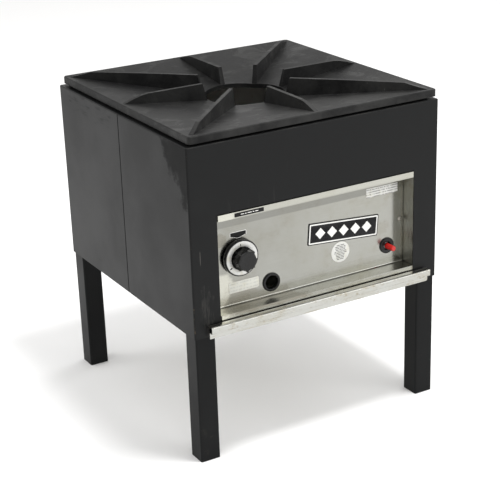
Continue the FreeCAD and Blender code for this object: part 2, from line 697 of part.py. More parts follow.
VALVE_TOP = "(valve_z + valve_port)"
VALVE_SIDE = "(valve_x + valve_port)"
SAFETY_SIDE = "(button_x - safety_side_port)"
SAFETY_PORT = "(button_z + safety_top_port)"
PILOT_BASE = "(burner_rail_base + angle_wall + bar_thick)"
PILOT_HEAD = "(pilot_z + 4)"


def burner_valve():
    """Brass valve behind the knob, held against the back of the panel."""
    core = rod("Y", "valve_radius", PANEL_BACK, "valve_back", "valve_x", "valve_z")
    top_port = rod("Z", "port_boss", "valve_z", VALVE_TOP, "valve_x", "train_plane")
    side_port = rod("X", "port_boss", "valve_x", VALVE_SIDE, "train_plane", "valve_z")
    back_nut = hexagon("Y", "valve_radius - 4", "valve_back", "valve_back + valve_nut_thick",
                       "valve_x", "valve_z")
    bore = rod("Y", "stem_radius + running_fit", f"{PANEL_BACK} - 1", "stem_end + 1", "valve_x", "valve_z")
    named(cut(fuse(core, top_port, side_port, back_nut), bore), "burner_valve")


def safety_valve():
    """Pilot safety valve behind the push button."""
    place = ("button_x", "button_z")
    core = rod("Y", "safety_radius", "safety_front", "safety_back", *place)
    inlet = hexagon("Y", "pipe_size / 2 + 5", "safety_back", "safety_back + safety_nut_thick", *place)
    outlet = rod("X", "port_boss + 1", SAFETY_SIDE, "button_x", "train_plane", "button_z")
    pilot_port = rod("Z", "pilot_boss", "button_z", SAFETY_PORT, "button_x", "pilot_port_y")
    lead_port = rod("Z", "lead_boss", "button_z", SAFETY_PORT, "button_x", "lead_port_y")
    bore = rod("Y", "button_stem + running_fit", "safety_front - 1", "button_bore_end", *place)
    named(cut(fuse(core, inlet, outlet, pilot_port, lead_port), bore), "safety_valve")


def gas_inlet_pipe():
    """Iron pipe from the back of the cabinet to the safety valve, threaded at its free end."""
    place = ("button_x", "button_z")
    start, thread = "safety_back + safety_nut_thick", "pipe_end - thread_length"
    relief = f"{thread} - relief_length"
    pipe = rod("Y", "pipe_size / 2", start, relief, *place)
    neck = rod("Y", "relief_radius", relief, thread, *place)
    threaded = rod("Y", "thread_radius", thread, "pipe_end", *place)
    bore = rod("Y", "pipe_bore / 2", f"{start} - 1", "pipe_end + 1", *place)
    named(cut(fuse(pipe, neck, threaded), bore), "gas_inlet_pipe")


def pipe_bracket():
    """Plate welded to the right rear leg that holds the inlet pipe."""
    back = "bracket_front + bracket_thick"
    low = ("button_x - bracket_reach", "bracket_front", "button_z - bracket_half")
    high = (LEG_IN, back, "button_z + bracket_half")
    hole = rod("Y", "pipe_size / 2", "bracket_front - 1", f"{back} + 1", "button_x", "button_z")
    named(cut(box(low, high), hole), "pipe_bracket")


def tubes():
    """Bent tubes of the gas train and the thermocouple's lead."""
    plane = "train_plane"
    bent_tube("manifold_tube",
              [(SAFETY_SIDE, plane, "button_z"), ("manifold_rise", plane, "button_z"),
               ("manifold_rise", plane, "valve_z"), (VALVE_SIDE, plane, "valve_z")],
              "manifold_tube_size", "tube_wall", "manifold_bend")
    bent_tube("gas_supply_tube",
              [("valve_x", plane, VALVE_TOP), ("valve_x", plane, "mixer_height"),
               ("0", plane, "mixer_height"), ("0", SPUD_BACK, "mixer_height")],
              "supply_tube", "tube_wall", "supply_bend")
    bent_tube("pilot_tube",
              [("button_x", "pilot_port_y", SAFETY_PORT), ("button_x", "pilot_port_y", "pilot_run_z"),
               ("pilot_x", "pilot_port_y", "pilot_run_z"), ("pilot_x", "pilot_y", "pilot_run_z"),
               ("pilot_x", "pilot_y", f"{PILOT_HEAD} - pilot_stem_length")],
              "pilot_tube_size", None, "small_bend")
    lead_x = "pilot_x + lead_offset"
    bent_tube("thermocouple_lead",
              [("button_x", "lead_port_y", SAFETY_PORT), ("button_x", "lead_port_y", "lead_run_z"),
               (lead_x, "lead_port_y", "lead_run_z"), (lead_x, "pilot_y", "lead_run_z"),
               (lead_x, "pilot_y", f"{PILOT_HEAD} + hood_height / 2")],
              "lead_size", None, "small_bend")


def tube_nuts():
    """Compression nuts where the tubes meet the valves."""
    ends = (("Z", VALVE_TOP, 1, "valve_x", "train_plane", "supply_tube / 2", "supply_nut"),
            ("X", VALVE_SIDE, 1, "train_plane", "valve_z", "manifold_tube_size / 2", "manifold_nut"),
            ("X", SAFETY_SIDE, -1, "train_plane", "button_z", "manifold_tube_size / 2", "manifold_nut"),
            ("Y", SPUD_BACK, -1, "0", "mixer_height", "supply_tube / 2", "supply_nut"),
            ("Z", SAFETY_PORT, 1, "button_x", "pilot_port_y", "pilot_tube_size / 2", "pilot_nut"),
            ("Z", SAFETY_PORT, 1, "button_x", "lead_port_y", "lead_size / 2", "lead_nut"))
    nuts = []
    for axis, face, way, across, up, bore, radius in ends:
        span = (face, f"{face} + nut_length") if way > 0 else (f"{face} - nut_length", face)
        nut = hexagon(axis, radius, *span, across, up)
        hole = rod(axis, bore, f"{span[0]} - 1", f"{span[1]} + 1", across, up)
        nuts.append(cut(nut, hole))
    group("tube_nuts", nuts)


def pilot():
    """Pilot burner with its hood, and the bracket that ties it to the left burner bar."""
    place = ("pilot_x", "pilot_y")
    stem = rod("Z", "pilot_stem", f"{PILOT_HEAD} - pilot_stem_length", PILOT_HEAD, *place)
    hood = rod("Z", "hood_radius", PILOT_HEAD, f"{PILOT_HEAD} + hood_height", *place)
    mouth = box(("pilot_x - hood_mouth_half", "pilot_y + 2", f"{PILOT_HEAD} + 2"),
                ("pilot_x + hood_mouth_half", "pilot_y + hood_mouth_half", f"{PILOT_HEAD} + hood_height - 2"))
    named(cut(fuse(stem, hood), mouth), "pilot_burner")
    top = f"{PILOT_BASE} + pilot_plate"
    plate = box(("pilot_x - pilot_plate_left", "pilot_y - pilot_plate_front", PILOT_BASE),
                ("pilot_x + pilot_plate_right", "pilot_y + pilot_plate_back", top))
    stem_hole = rod("Z", "pilot_stem", f"{PILOT_BASE} - 1", f"{top} + 1", *place)
    lead_place = ("pilot_x + lead_offset", "pilot_y")
    lead_hole = rod("Z", "lead_size / 2", f"{PILOT_BASE} - 1", f"{top} + 1", *lead_place)
    named(cut(plate, fuse(stem_hole, lead_hole)), "pilot_bracket")


# ---------------------------------------------------------------- control panel


def control_panel():
    """Bent stainless sheet: top flange, roof, face, sill and front lip, with holes for the controls."""
    part = body("control_panel")
    front, back = f"-({HALF})", PANEL_BACK
    skin = "panel_sheet"
    outline = [(front, "panel_top"), (front, "panel_brow"), (f"{front} + {skin}", "panel_brow"),
               ("panel_plane", "panel_brow"), ("panel_plane", "panel_sill"), (front, "panel_sill"),
               (front, "panel_lip"), (f"{front} + {skin}", "panel_lip"),
               (f"{front} + {skin}", f"panel_sill - {skin}"), (back, f"panel_sill - {skin}"),
               (back, f"panel_brow + {skin}"), (f"{front} + {skin}", f"panel_brow + {skin}"),
               (f"{front} + {skin}", "panel_top")]
    pad(part, "YZ", [outline], "panel_left", "panel_right")
    holes = [("valve_x", "valve_z", "stem_radius + 2"), ("sight_x", "sight_z", "sight_flange - 2"),
             ("button_x", "button_z", "boot_flange - 2.5")]
    holes += [(f"{side} * panel_screw_x", "panel_screw_z", "screw_hole") for side in (-1, 1)]
    pocket(part, "XZ", holes, "panel_plane - 3", f"{PANEL_BACK} + 3")


def panel_cheek(label, edge, side):
    """Side wall of the recess, with a flange behind the panel that the panel is screwed to."""
    part = body(label)
    wall = f"({edge} + {side} * panel_sheet)"
    flange = f"({edge} - {side} * cheek_flange)"
    front = f"(-({HALF}) + sheet)"
    back = f"({PANEL_BACK} + panel_sheet)"
    outline = [(edge, front), (wall, front), (wall, back), (flange, back), (flange, PANEL_BACK),
               (edge, PANEL_BACK)]
    pad(part, "XY", [outline], "panel_lip + 2", "panel_brow + 8")
    hole = (f"{side} * panel_screw_x", "panel_screw_z", "screw_hole")
    pocket(part, "XZ", [hole], f"{PANEL_BACK} - 1", f"{back} + 1")


def panel_screws():
    places = [(f"{side} * panel_screw_x", "panel_screw_z") for side in (-1, 1)]
    group("panel_screws", [screw("Y", 1, "panel_plane", "panel_screw_length", *place) for place in places])


def knob():
    """Eight-sided grip on a round skirt, bored for the valve stem."""
    part = body("gas_knob")
    plane, back = "(-skirt_plane)", "(-skirt_back)"
    spin(part, [("0", f"{plane} - skirt_wall"), ("skirt_radius - skirt_wall", f"{plane} - skirt_wall"),
                ("skirt_radius - skirt_wall", back), ("skirt_radius", back), ("skirt_radius", f"{plane} - 1"),
                ("skirt_radius - 1", plane), ("0", plane)])
    corner = math.cos(math.pi / 4)
    eight = [("1", "0"), (corner, corner), ("0", "1"), (-corner, corner),
             ("-1", "0"), (-corner, -corner), ("0", "-1"), (corner, -corner)]
    turned = [(f"grip_radius * ({a} * cos(22.5) - {b} * sin(22.5))",
               f"grip_radius * ({a} * sin(22.5) + {b} * cos(22.5))") for a, b in eight]
    pad(part, "XY", [turned], plane, "-grip_face")
    pad(part, "XY", [("0", "0", "knob_hub")], back, plane)
    soften(part, "Fillet", "grip_edge", level_at("-grip_face"))
    pocket(part, "XY", [("0", "0", "stem_radius")], f"{back} - 1", f"{plane} + stem_socket")
    put(part, "valve_x", "0", "valve_z", Rotation(Vector(1, 0, 0), 90))
    stem = rod("Y", "stem_radius", "skirt_plane - stem_socket", "stem_end", "valve_x", "valve_z")
    named(stem, "valve_stem")


def dial_ring():
    """Thin metal ring on the knob's skirt."""
    span = ("skirt_plane - foil", "skirt_plane")
    place = ("valve_x", "valve_z")
    disc = rod("Y", "dial_outer", *span, *place)
    named(cut(disc, rod("Y", "dial_inner", f"{span[0]} - 1", f"{span[1]} + 1", *place)), "dial_ring")


def bushing(label, x, z, flange, bore):
    """Black bushing that lines a hole in the panel."""
    part = body(label)
    lip, deep = "bushing_lip", "-bushing_depth"
    barrel = f"({flange} - bushing_step)"
    spin(part, [(bore, deep), (barrel, deep), (barrel, "0"), (flange, "0"),
                (flange, f"{lip} - bushing_edge"), (f"{flange} - bushing_edge", lip), (f"{bore} + 1", lip),
                (bore, f"{lip} - 1")])
    put(part, x, "panel_plane", z, Rotation(Vector(1, 0, 0), 90))


def push_button():
    """Red cap of the safety valve on its steel stem."""
    place = ("button_x", "button_z")
    shank = rod("Y", "button_radius", "button_tip + button_chamfer", "button_back", *place)
    tip = doc.addObject("Part::Cone", "tip")
    tip.setExpression("Radius1", bound("button_radius - button_edge"))
    tip.setExpression("Radius2", bound("button_radius"))
    tip.setExpression("Height", bound("button_chamfer"))
    put(tip, place[0], "button_tip", place[1], Rotation(Vector(1, 0, 0), -90))
    hole = rod("Y", "button_stem", "button_back - button_socket", "button_back + 1", *place)
    named(cut(fuse(shank, tip), hole), "safety_button")
    named(rod("Y", "button_stem", "button_back - button_socket", "button_stem_end", *place), "button_stem")


def plate(label, left, bottom, right, top, thick, corner=None):
    """A flat plate on the panel face."""
    part = body(label)
    pad(part, "XZ", [rectangle(left, bottom, right, top)], f"panel_plane - {thick}", "panel_plane")
    if corner:
        def across(edge):
            return edge.BoundBox.YLength > 0.1 and edge.BoundBox.DiagonalLength - edge.BoundBox.YLength < 0.01
        soften(part, "Fillet", corner, across)
    return part


def badge():
    """Name plate with its text left out, set slightly askew."""
    part = plate("badge_plate", "-badge_width / 2", "-badge_height / 2", "badge_width / 2",
                 "badge_height / 2", "badge_thick", "badge_corner")
    put(part, "badge_x", "0", "badge_z", Rotation(Vector(0, 1, 0), value("badge_tilt")))


def labels():
    """Stickers and the pointer above the dial."""
    plate("rating_label", "rating_left", "rating_base", "rating_right", "rating_top", "label_thick",
          "rating_corner")
    plate("serial_label", "serial_left", "serial_base", "serial_right", "serial_top", "label_thick")
    disc = rod("Y", "sticker_radius", "panel_plane - label_thick", "panel_plane", "sticker_x", "sticker_z")
    named(disc, "round_label")
    strip = body("strip_label")
    front = f"-({HALF})"
    outline = rectangle("strip_left", "strip_base", "strip_right", "strip_top")
    pad(strip, "XZ", [outline], f"{front} - label_thick", front)
    pointer = body("dial_pointer")
    left, right = "pointer_x - pointer_half", "pointer_x + pointer_half"
    wedge = [(left, "pointer_top"), (left, "pointer_end"), ("pointer_x - pointer_tip_half", "pointer_tip"),
             ("pointer_x + pointer_tip_half", "pointer_tip"), (right, "pointer_end"), (right, "pointer_top")]
    pad(pointer, "XZ", [wedge], "panel_plane - foil", "panel_plane")


# ---------------------------------------------------------------- drip tray


def drip_tray():
    """Shallow stainless pan under the burner, with a forward flange at its front."""
    part = body("drip_tray")
    half, skin = "tray_half", "tray_sheet"
    pad(part, "XY", [rectangle(f"-{half}", "tray_front", half, "tray_back")], "tray_floor", "tray_lip")
    inside = rectangle(f"-{half} + {skin}", f"tray_front + {skin}", f"{half} - {skin}", f"tray_back - {skin}")
    pocket(part, "XY", [inside], f"tray_floor + {skin}", "tray_lip + 1")
    flange = rectangle(f"-{half}", "tray_front - tray_flange", half, f"tray_front + {skin}")
    pad(part, "XY", [flange], f"tray_lip - {skin}", "tray_lip")


def tray_handle():
    """Folded sheet across the tray's front: a hollow bar to pull and a set-back foot below it."""
    part = body("tray_handle")
    skin = "handle_sheet"
    back = f"handle_step + {skin}"
    outline = [("handle_back", "handle_top"), ("handle_front", "handle_top"), ("handle_front", "handle_hem"),
               ("handle_step", "handle_hem"), ("handle_step", "handle_foot"), (back, "handle_foot"),
               (back, f"handle_top - {skin}"), ("handle_back", f"handle_top - {skin}")]
    pad(part, "YZ", [outline], "-handle_half", "handle_half")
    inside = rectangle(f"handle_front + {skin}", f"handle_hem + {skin}", "handle_step",
                       f"handle_top - {skin}")
    pocket(part, "YZ", [inside], "-handle_half - 1", "handle_half + 1")

    def front_bend(edge):
        box_ = edge.BoundBox
        near = abs(box_.YMin - value("handle_front")) < 0.01 and abs(box_.YMax - value("handle_front")) < 0.01
        return near and box_.XLength > 100

    soften(part, "Fillet", "handle_bend", front_bend)


def tray_rail(label, side):
    """Z-shaped rail on the legs that the tray runs on."""
    part = body(label)
    web = f"({side} * (tray_half + rail_gap))"
    web_out = f"({side} * (tray_half + rail_gap + rail_sheet))"
    ledge = f"({side} * (tray_half - rail_ledge))"
    floor = "tray_floor - rail_clearance"
    top = f"{floor} - rail_sheet + rail_height"
    outline = [(ledge, floor), (web, floor), (web, top), (f"{side} * {LEG_IN}", top),
               (f"{side} * {LEG_IN}", f"{top} - rail_sheet"), (web_out, f"{top} - rail_sheet"),
               (web_out, f"{floor} - rail_sheet"), (ledge, f"{floor} - rail_sheet")]
    pad(part, "XZ", [outline], "-rail_half", "rail_half")


# ---------------------------------------------------------------- build

front_wrap()
rear_wrap()
for depth_name, side_depth in (("front", -1), ("rear", 1)):
    for side_name, side_width in (("left", -1), ("right", 1)):
        leg(f"leg_{depth_name}_{side_name}", side_width, side_depth)
leg_caps()
for turns, place_name in enumerate(("front", "right", "rear", "left")):
    between = turns % 2
    top_rail(f"top_rail_{place_name}", turns, "angle_side" if between else "0")
    liner(f"liner_{place_name}", turns, "liner_sheet - 0.2" if between else "0")
burner_rail("burner_rail_front", 0)
burner_rail("burner_rail_rear", 2)
liner_screws()
top_grate()
burner_bar("burner_bar_left", -1)
burner_bar("burner_bar_right", 1)
burner_ring()
burner_bolts()
mixing_tube()
air_shutter()
orifice_holder()
burner_valve()
safety_valve()
gas_inlet_pipe()
pipe_bracket()
tubes()
tube_nuts()
pilot()
control_panel()
panel_cheek("panel_cheek_left", "cutout_left", -1)
panel_cheek("panel_cheek_right", "cutout_right", 1)
panel_screws()
knob()
dial_ring()
bushing("sight_bushing", "sight_x", "sight_z", "sight_flange", "sight_bore")
bushing("button_bushing", "button_x", "button_z", "boot_flange", "boot_bore")
push_button()
badge()
labels()
drip_tray()
tray_handle()
tray_rail("tray_rail_left", -1)
tray_rail("tray_rail_right", 1)
doc.recompute()

failed = [item.Label for item in doc.Objects if {"Invalid", "Error"} & set(item.State)]
failed += [piece.Label for piece in pieces if piece.Shape.isNull() or not piece.Shape.isValid()]
if failed:
    raise ValueError(f"not built: {failed}")
os.makedirs("parts", exist_ok=True)
for piece in pieces:
    piece.Shape.exportStep(f"parts/{piece.Label}.step")
    extent = piece.Shape.BoundBox
    print(f"{piece.Label:20s} solids {len(piece.Shape.Solids)}  {piece.Shape.Volume / 1000:9.2f} cm3  "
          f"x {extent.XMin:.1f}..{extent.XMax:.1f} y {extent.YMin:.1f}..{extent.YMax:.1f} "
          f"z {extent.ZMin:.1f}..{extent.ZMax:.1f}")
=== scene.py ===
"""The gas stock pot stove as it looks: worn satin black paint, a matte cast top, stained stainless and brass.

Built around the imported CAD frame, in metres, in the same axes: front to -Y, Z up."""
import math
import random

import bmesh
import bpy
from mathutils import Matrix, Vector


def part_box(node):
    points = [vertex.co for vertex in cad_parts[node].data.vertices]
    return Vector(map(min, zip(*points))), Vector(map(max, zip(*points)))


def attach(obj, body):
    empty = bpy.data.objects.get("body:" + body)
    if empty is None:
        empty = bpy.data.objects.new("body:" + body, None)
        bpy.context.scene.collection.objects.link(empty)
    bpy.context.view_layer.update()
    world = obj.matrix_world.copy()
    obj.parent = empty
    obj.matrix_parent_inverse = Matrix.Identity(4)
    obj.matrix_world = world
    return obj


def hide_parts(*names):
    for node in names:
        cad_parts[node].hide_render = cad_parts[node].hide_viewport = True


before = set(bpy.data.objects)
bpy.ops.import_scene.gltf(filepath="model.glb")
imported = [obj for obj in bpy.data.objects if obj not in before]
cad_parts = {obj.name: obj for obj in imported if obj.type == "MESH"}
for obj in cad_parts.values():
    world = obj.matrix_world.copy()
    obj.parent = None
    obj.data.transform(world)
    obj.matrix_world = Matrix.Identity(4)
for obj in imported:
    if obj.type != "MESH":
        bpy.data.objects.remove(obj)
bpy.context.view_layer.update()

MM = 0.001

# ---------------------------------------------------------------- camera and studio

CAMERA_PLACE = Vector((-1.22002, -2.12583, 1.22238))
AZIMUTH, ELEVATION, ROLL = (math.radians(angle) for angle in (-29.952, 21.374, -1.886))
LENS = 98.867


def add_camera():
    """The camera looks along the photograph's direction, with its slight roll."""
    back = Vector((math.sin(AZIMUTH) * math.cos(ELEVATION), -math.cos(AZIMUTH) * math.cos(ELEVATION),
                   math.sin(ELEVATION)))
    right = (-back).cross(Vector((0, 0, 1))).normalized()
    up = right.cross(-back)
    turned_right = right * math.cos(ROLL) + up * math.sin(ROLL)
    turned_up = up * math.cos(ROLL) - right * math.sin(ROLL)
    data = bpy.data.cameras.new("camera")
    data.lens = LENS
    data.sensor_width = 36
    data.clip_start, data.clip_end = 0.05, 60
    camera = bpy.data.objects.new("camera", data)
    camera.matrix_world = Matrix((turned_right, turned_up, back)).transposed().to_4x4()
    camera.location = CAMERA_PLACE
    bpy.context.scene.collection.objects.link(camera)
    bpy.context.scene.camera = camera


def add_light(name, place, aim, size, power):
    data = bpy.data.lights.new(name, "AREA")
    data.shape = "RECTANGLE"
    data.size, data.size_y = size
    data.energy = power
    light = bpy.data.objects.new(name, data)
    light.location = place
    light.rotation_euler = (Vector(aim) - Vector(place)).to_track_quat("-Z", "Y").to_euler()
    bpy.context.scene.collection.objects.link(light)


def add_studio():
    """Pale floor, an even pale surround, and soft boxes behind and above."""
    bpy.context.scene.view_settings.view_transform = "Standard"
    world = bpy.data.worlds.new("studio")
    bpy.context.scene.world = world
    world.use_nodes = True
    nodes, links = world.node_tree.nodes, world.node_tree.links
    nodes.clear()
    output = nodes.new("ShaderNodeOutputWorld")
    seen, lit = nodes.new("ShaderNodeBackground"), nodes.new("ShaderNodeBackground")
    seen.inputs["Color"].default_value = (1, 1, 1, 1)
    seen.inputs["Strength"].default_value = 1.0
    blend = nodes.new("ShaderNodeMixShader")
    path = nodes.new("ShaderNodeLightPath")
    links.new(path.outputs["Is Camera Ray"], blend.inputs[0])
    links.new(lit.outputs[0], blend.inputs[1])
    links.new(seen.outputs[0], blend.inputs[2])
    links.new(blend.outputs[0], output.inputs["Surface"])
    lit.inputs["Strength"].default_value = 0.9
    lit.inputs["Color"].default_value = (1.0, 0.995, 0.985, 1)
    add_light("back_left_box", (-2.6, 1.5, 2.8), (0, 0, 0.3), (1.6, 1.6), 20)
    add_light("back_right_box", (2.6, 1.2, 2.6), (0, 0, 0.3), (1.4, 1.4), 20)
    add_light("top_box", (0.3, -0.7, 3.2), (0, 0, 0), (0.5, 0.5), 56)
    add_light("front_box", (1.9, -3.1, 1.7), (0, 0, 0.35), (2.4, 1.5), 30)
    add_floor()


def add_floor():
    mesh = bpy.data.meshes.new("floor")
    half = 9.0
    corners = [(-half, -half, 0), (half, -half, 0), (half, half, 0), (-half, half, 0)]
    mesh.from_pydata(corners, [], [(0, 1, 2, 3)])
    floor = bpy.data.objects.new("floor", mesh)
    bpy.context.scene.collection.objects.link(floor)
    finish = Finish("floor_paper", (0.93, 0.93, 0.93), 0.9)
    finish.bump(finish.noise(40, 3), 0.05, 0.0005)
    mesh.materials.append(finish.material)


# ---------------------------------------------------------------- materials


class Finish:
    """A Principled material with helpers for its node graph. Textures use object coordinates, in metres."""

    def __init__(self, name, colour, roughness, metallic=0.0):
        self.material = bpy.data.materials.new(name)
        self.material.use_nodes = True
        self.nodes = self.material.node_tree.nodes
        self.links = self.material.node_tree.links
        self.shader = self.nodes["Principled BSDF"]
        self.set("Base Color", (*colour, 1))
        self.set("Roughness", roughness)
        self.set("Metallic", metallic)
        self.place = self.nodes.new("ShaderNodeTexCoord").outputs["Object"]
        self.last_bump = None

    def set(self, socket, value):
        self.shader.inputs[socket].default_value = value

    def drive(self, socket, source):
        self.links.new(source, self.shader.inputs[socket])

    def feed(self, socket, value):
        """Link an output to a socket, or set a plain value on it."""
        if isinstance(value, bpy.types.NodeSocket):
            self.links.new(value, socket)
        elif isinstance(value, tuple) and len(value) == 3 and socket.type == "RGBA":
            socket.default_value = (*value, 1)
        else:
            socket.default_value = value

    def stretched(self, scale, offset=(0, 0, 0), turn=(0, 0, 0)):
        node = self.nodes.new("ShaderNodeMapping")
        self.links.new(self.place, node.inputs["Vector"])
        node.inputs["Scale"].default_value = scale
        node.inputs["Location"].default_value = offset
        node.inputs["Rotation"].default_value = turn
        return node.outputs[0]

    def noise(self, scale, detail=4.0, rough=0.55, where=None, distortion=0.0):
        node = self.nodes.new("ShaderNodeTexNoise")
        node.inputs["Scale"].default_value = scale
        node.inputs["Detail"].default_value = detail
        node.inputs["Roughness"].default_value = rough
        node.inputs["Distortion"].default_value = distortion
        self.links.new(where or self.place, node.inputs["Vector"])
        return node.outputs[0]

    def cells(self, scale, where=None):
        node = self.nodes.new("ShaderNodeTexVoronoi")
        node.inputs["Scale"].default_value = scale
        self.links.new(where or self.place, node.inputs["Vector"])
        return node.outputs[0]

    def steps(self, source, low, high, from_value=0.0, to_value=1.0):
        """Smooth ramp of a value from low to high."""
        node = self.nodes.new("ShaderNodeMapRange")
        node.interpolation_type = "SMOOTHSTEP"
        self.links.new(source, node.inputs["Value"])
        limits = {"From Min": low, "From Max": high, "To Min": from_value, "To Max": to_value}
        for socket, value in limits.items():
            node.inputs[socket].default_value = value
        return node.outputs[0]

    def maths(self, kind, first, second=0.0):
        node = self.nodes.new("ShaderNodeMath")
        node.operation = kind
        self.feed(node.inputs[0], first)
        self.feed(node.inputs[1], second)
        return node.outputs[0]

    def times(self, first, second):
        return self.maths("MULTIPLY", first, second)

    def plus(self, first, second):
        return self.maths("ADD", first, second)

    def mix(self, amount, first, second):
        node = self.nodes.new("ShaderNodeMix")
        node.data_type = "RGBA"
        self.feed(node.inputs["Factor"], amount)
        self.feed(node.inputs[6], first)
        self.feed(node.inputs[7], second)
        return node.outputs[2]

    def axis(self, letter):
        """One object coordinate, in metres."""
        node = self.nodes.new("ShaderNodeSeparateXYZ")
        self.links.new(self.place, node.inputs[0])
        return node.outputs["XYZ".index(letter)]

    def inside(self, letter, low, high, soft):
        """1 between two coordinates, falling off over soft metres outside them."""
        value = self.axis(letter)
        return self.times(self.steps(value, low - soft, low), self.steps(value, high, high + soft, 1, 0))

    def spot(self, across, place, up, height, wide, tall, ragged=0.35, scale=60):
        """1 around a point in the plane of two axes, falling to 0 at the ragged edge of an ellipse."""
        first = self.maths("DIVIDE", self.maths("SUBTRACT", self.axis(across), place * MM), wide * MM)
        second = self.maths("DIVIDE", self.maths("SUBTRACT", self.axis(up), height * MM), tall * MM)
        squares = self.plus(self.times(first, first), self.times(second, second))
        rough = self.times(self.maths("SUBTRACT", self.noise(scale, 5, 0.65), 0.5), 4 * ragged)
        return self.steps(self.plus(self.maths("SQRT", squares), rough), 0.75, 1.1, 1, 0)

    def most(self, *values):
        """The largest of several masks."""
        made = values[0]
        for value in values[1:]:
            made = self.maths("MAXIMUM", made, value)
        return made

    def grain_across(self, turn):
        """Brushed grain: reflections stay sharp one way and smear the other."""
        tangent = self.nodes.new("ShaderNodeTangent")
        tangent.direction_type = "RADIAL"
        tangent.axis = "Z"
        self.drive("Tangent", tangent.outputs[0])
        self.set("Anisotropic", 0.55)
        self.set("Anisotropic Rotation", turn)

    def bump(self, height, strength, distance):
        node = self.nodes.new("ShaderNodeBump")
        node.inputs["Strength"].default_value = strength
        node.inputs["Distance"].default_value = distance
        self.links.new(height, node.inputs["Height"])
        if self.last_bump:
            self.links.new(self.last_bump, node.inputs["Normal"])
        self.last_bump = node.outputs[0]
        self.drive("Normal", node.outputs[0])


def black_paint(name, seed=0.0, marks=None, gloss=0.132):
    """Satin black baked paint: soft waves, dusty scuffs, fine upright scratches and a few chips."""
    finish = Finish(name, (0.009, 0.009, 0.0095), 0.34)
    finish.set("Specular IOR Level", gloss)
    place = finish.stretched((1, 1, 1), (seed, seed * 0.7, 0))
    broad = finish.noise(6, 5, 0.6, place)
    pale_clouds = finish.times(finish.steps(broad, 0.5, 0.8), 0.6)
    colour = finish.mix(pale_clouds, (0.0079, 0.0082, 0.0084), (0.0128, 0.0132, 0.013))
    streak_place = finish.stretched((230, 230, 7), (seed, 0, 0))
    streaks = finish.steps(finish.noise(1, 3, 0.6, streak_place), 0.66, 0.75)
    patches = finish.steps(finish.noise(4.3, 2, 0.5, place), 0.54, 0.68)
    scuffs = finish.times(streaks, patches)
    colour = finish.mix(finish.times(scuffs, 0.28), colour, (0.07, 0.066, 0.06))
    specks = finish.times(finish.steps(finish.cells(85, place), 0.03, 0.06, 1, 0),
                          finish.steps(finish.noise(9, 2, 0.5, place), 0.6, 0.66))
    colour = finish.mix(finish.times(specks, 0.5), colour, (0.12, 0.105, 0.085))
    rough = finish.steps(broad, 0.3, 0.75, 0.3, 0.44)
    if marks:
        rough, colour = marks(finish, rough, colour)
    finish.drive("Base Color", colour)
    finish.drive("Roughness", rough)
    finish.bump(finish.noise(170, 3, 0.6, place), 0.035, 0.0004)
    finish.bump(finish.noise(3.2, 2, 0.4, place), 0.1, 0.003)
    return finish.material


def cabinet_marks(finish, rough, colour):
    """Where the cabinet has been handled: a rubbed patch by the front top corner, a scrape, chipped edges;
    also a painted highlight along the front top edge.
    """
    left = finish.steps(finish.axis("X"), -0.2536, -0.2533, 1, 0)
    front = finish.steps(finish.axis("Y"), -0.2536, -0.2533, 1, 0)
    patch = finish.spot("Y", -258, "Z", 578, 88, 92, 0.4, 26)
    high = finish.spot("Y", 120, "Z", 556, 110, 20, 0.5, 30)
    slanted = finish.stretched((90, 26, 120), turn=(0.25, 0, 0))
    wiped = finish.steps(finish.noise(1, 6, 0.7, slanted), 0.5, 0.66)
    smears = finish.times(finish.times(high, wiped), 0.45)
    dull = finish.times(finish.most(patch, smears), left)
    rough = finish.plus(rough, finish.times(dull, 0.3))
    colour = finish.mix(finish.times(dull, 0.6), colour, (0.006, 0.006, 0.006))
    seam = finish.times(finish.inside("Y", -0.0012, 0.0012, 0.0005), left)
    colour = finish.mix(finish.times(seam, 0.9), colour, (0.002, 0.002, 0.002))
    rough = finish.plus(rough, finish.times(seam, 0.5))
    scrape = finish.times(finish.spot("Y", 40, "Z", 548, 1.3, 11, 0.35, 90), left)
    run = finish.times(finish.spot("Y", 120, "Z", 262, 9, 3, 0.5, 120), left)
    run = finish.most(run, scrape)
    light = finish.times(finish.spot("X", -237, "Z", 383, 0.8, 13, 0.35, 90), front)
    rub = finish.times(finish.spot("X", -229, "Z", 282, 13, 42, 0.5, 45), front)
    upright = finish.stretched((240, 240, 26))
    rub = finish.times(rub, finish.steps(finish.noise(1, 5, 0.7, upright), 0.45, 0.62))
    colour = finish.mix(finish.times(rub, 0.7), colour, (0.035, 0.034, 0.032))
    colour = finish.mix(finish.times(light, 0.7), colour, (0.09, 0.085, 0.078))
    colour = finish.mix(finish.times(run, 0.8), colour, (0.003, 0.003, 0.003))
    edge = finish.times(finish.steps(finish.axis("X"), -0.2532, -0.2522, 1, 0),
                        finish.steps(finish.axis("Y"), -0.2532, -0.2522, 1, 0))
    # Painted highlight: a thin paler line along the front face's top edge, where the rounded edge catches
    # light, broken up in patches.
    lip = finish.times(finish.steps(finish.axis("Z"), 0.5748, 0.5753),
                       finish.steps(finish.axis("Y"), -0.252, -0.2535))
    lip_highlight_patches = finish.steps(finish.noise(1, 4, 0.7, finish.stretched((22, 60, 60))), 0.42, 0.62)
    colour = finish.mix(finish.times(finish.times(lip, lip_highlight_patches), 0.5), colour, (0.06, 0.056, 0.05))
    chips = finish.steps(finish.noise(1, 4, 0.75, finish.stretched((60, 60, 75))), 0.57, 0.62)
    colour = finish.mix(finish.times(finish.times(edge, chips), 0.8), colour, (0.16, 0.12, 0.075))
    return rough, colour


def leg_marks(finish, rough, colour):
    """Knocks and dried splashes near the feet."""
    low = finish.steps(finish.axis("Z"), 0.02, 0.16, 1, 0)
    splash = finish.times(finish.steps(finish.noise(45, 5, 0.7), 0.6, 0.68), low)
    colour = finish.mix(finish.times(splash, 0.22), colour, (0.05, 0.046, 0.04))
    rough = finish.plus(rough, finish.times(splash, 0.2))
    return rough, colour


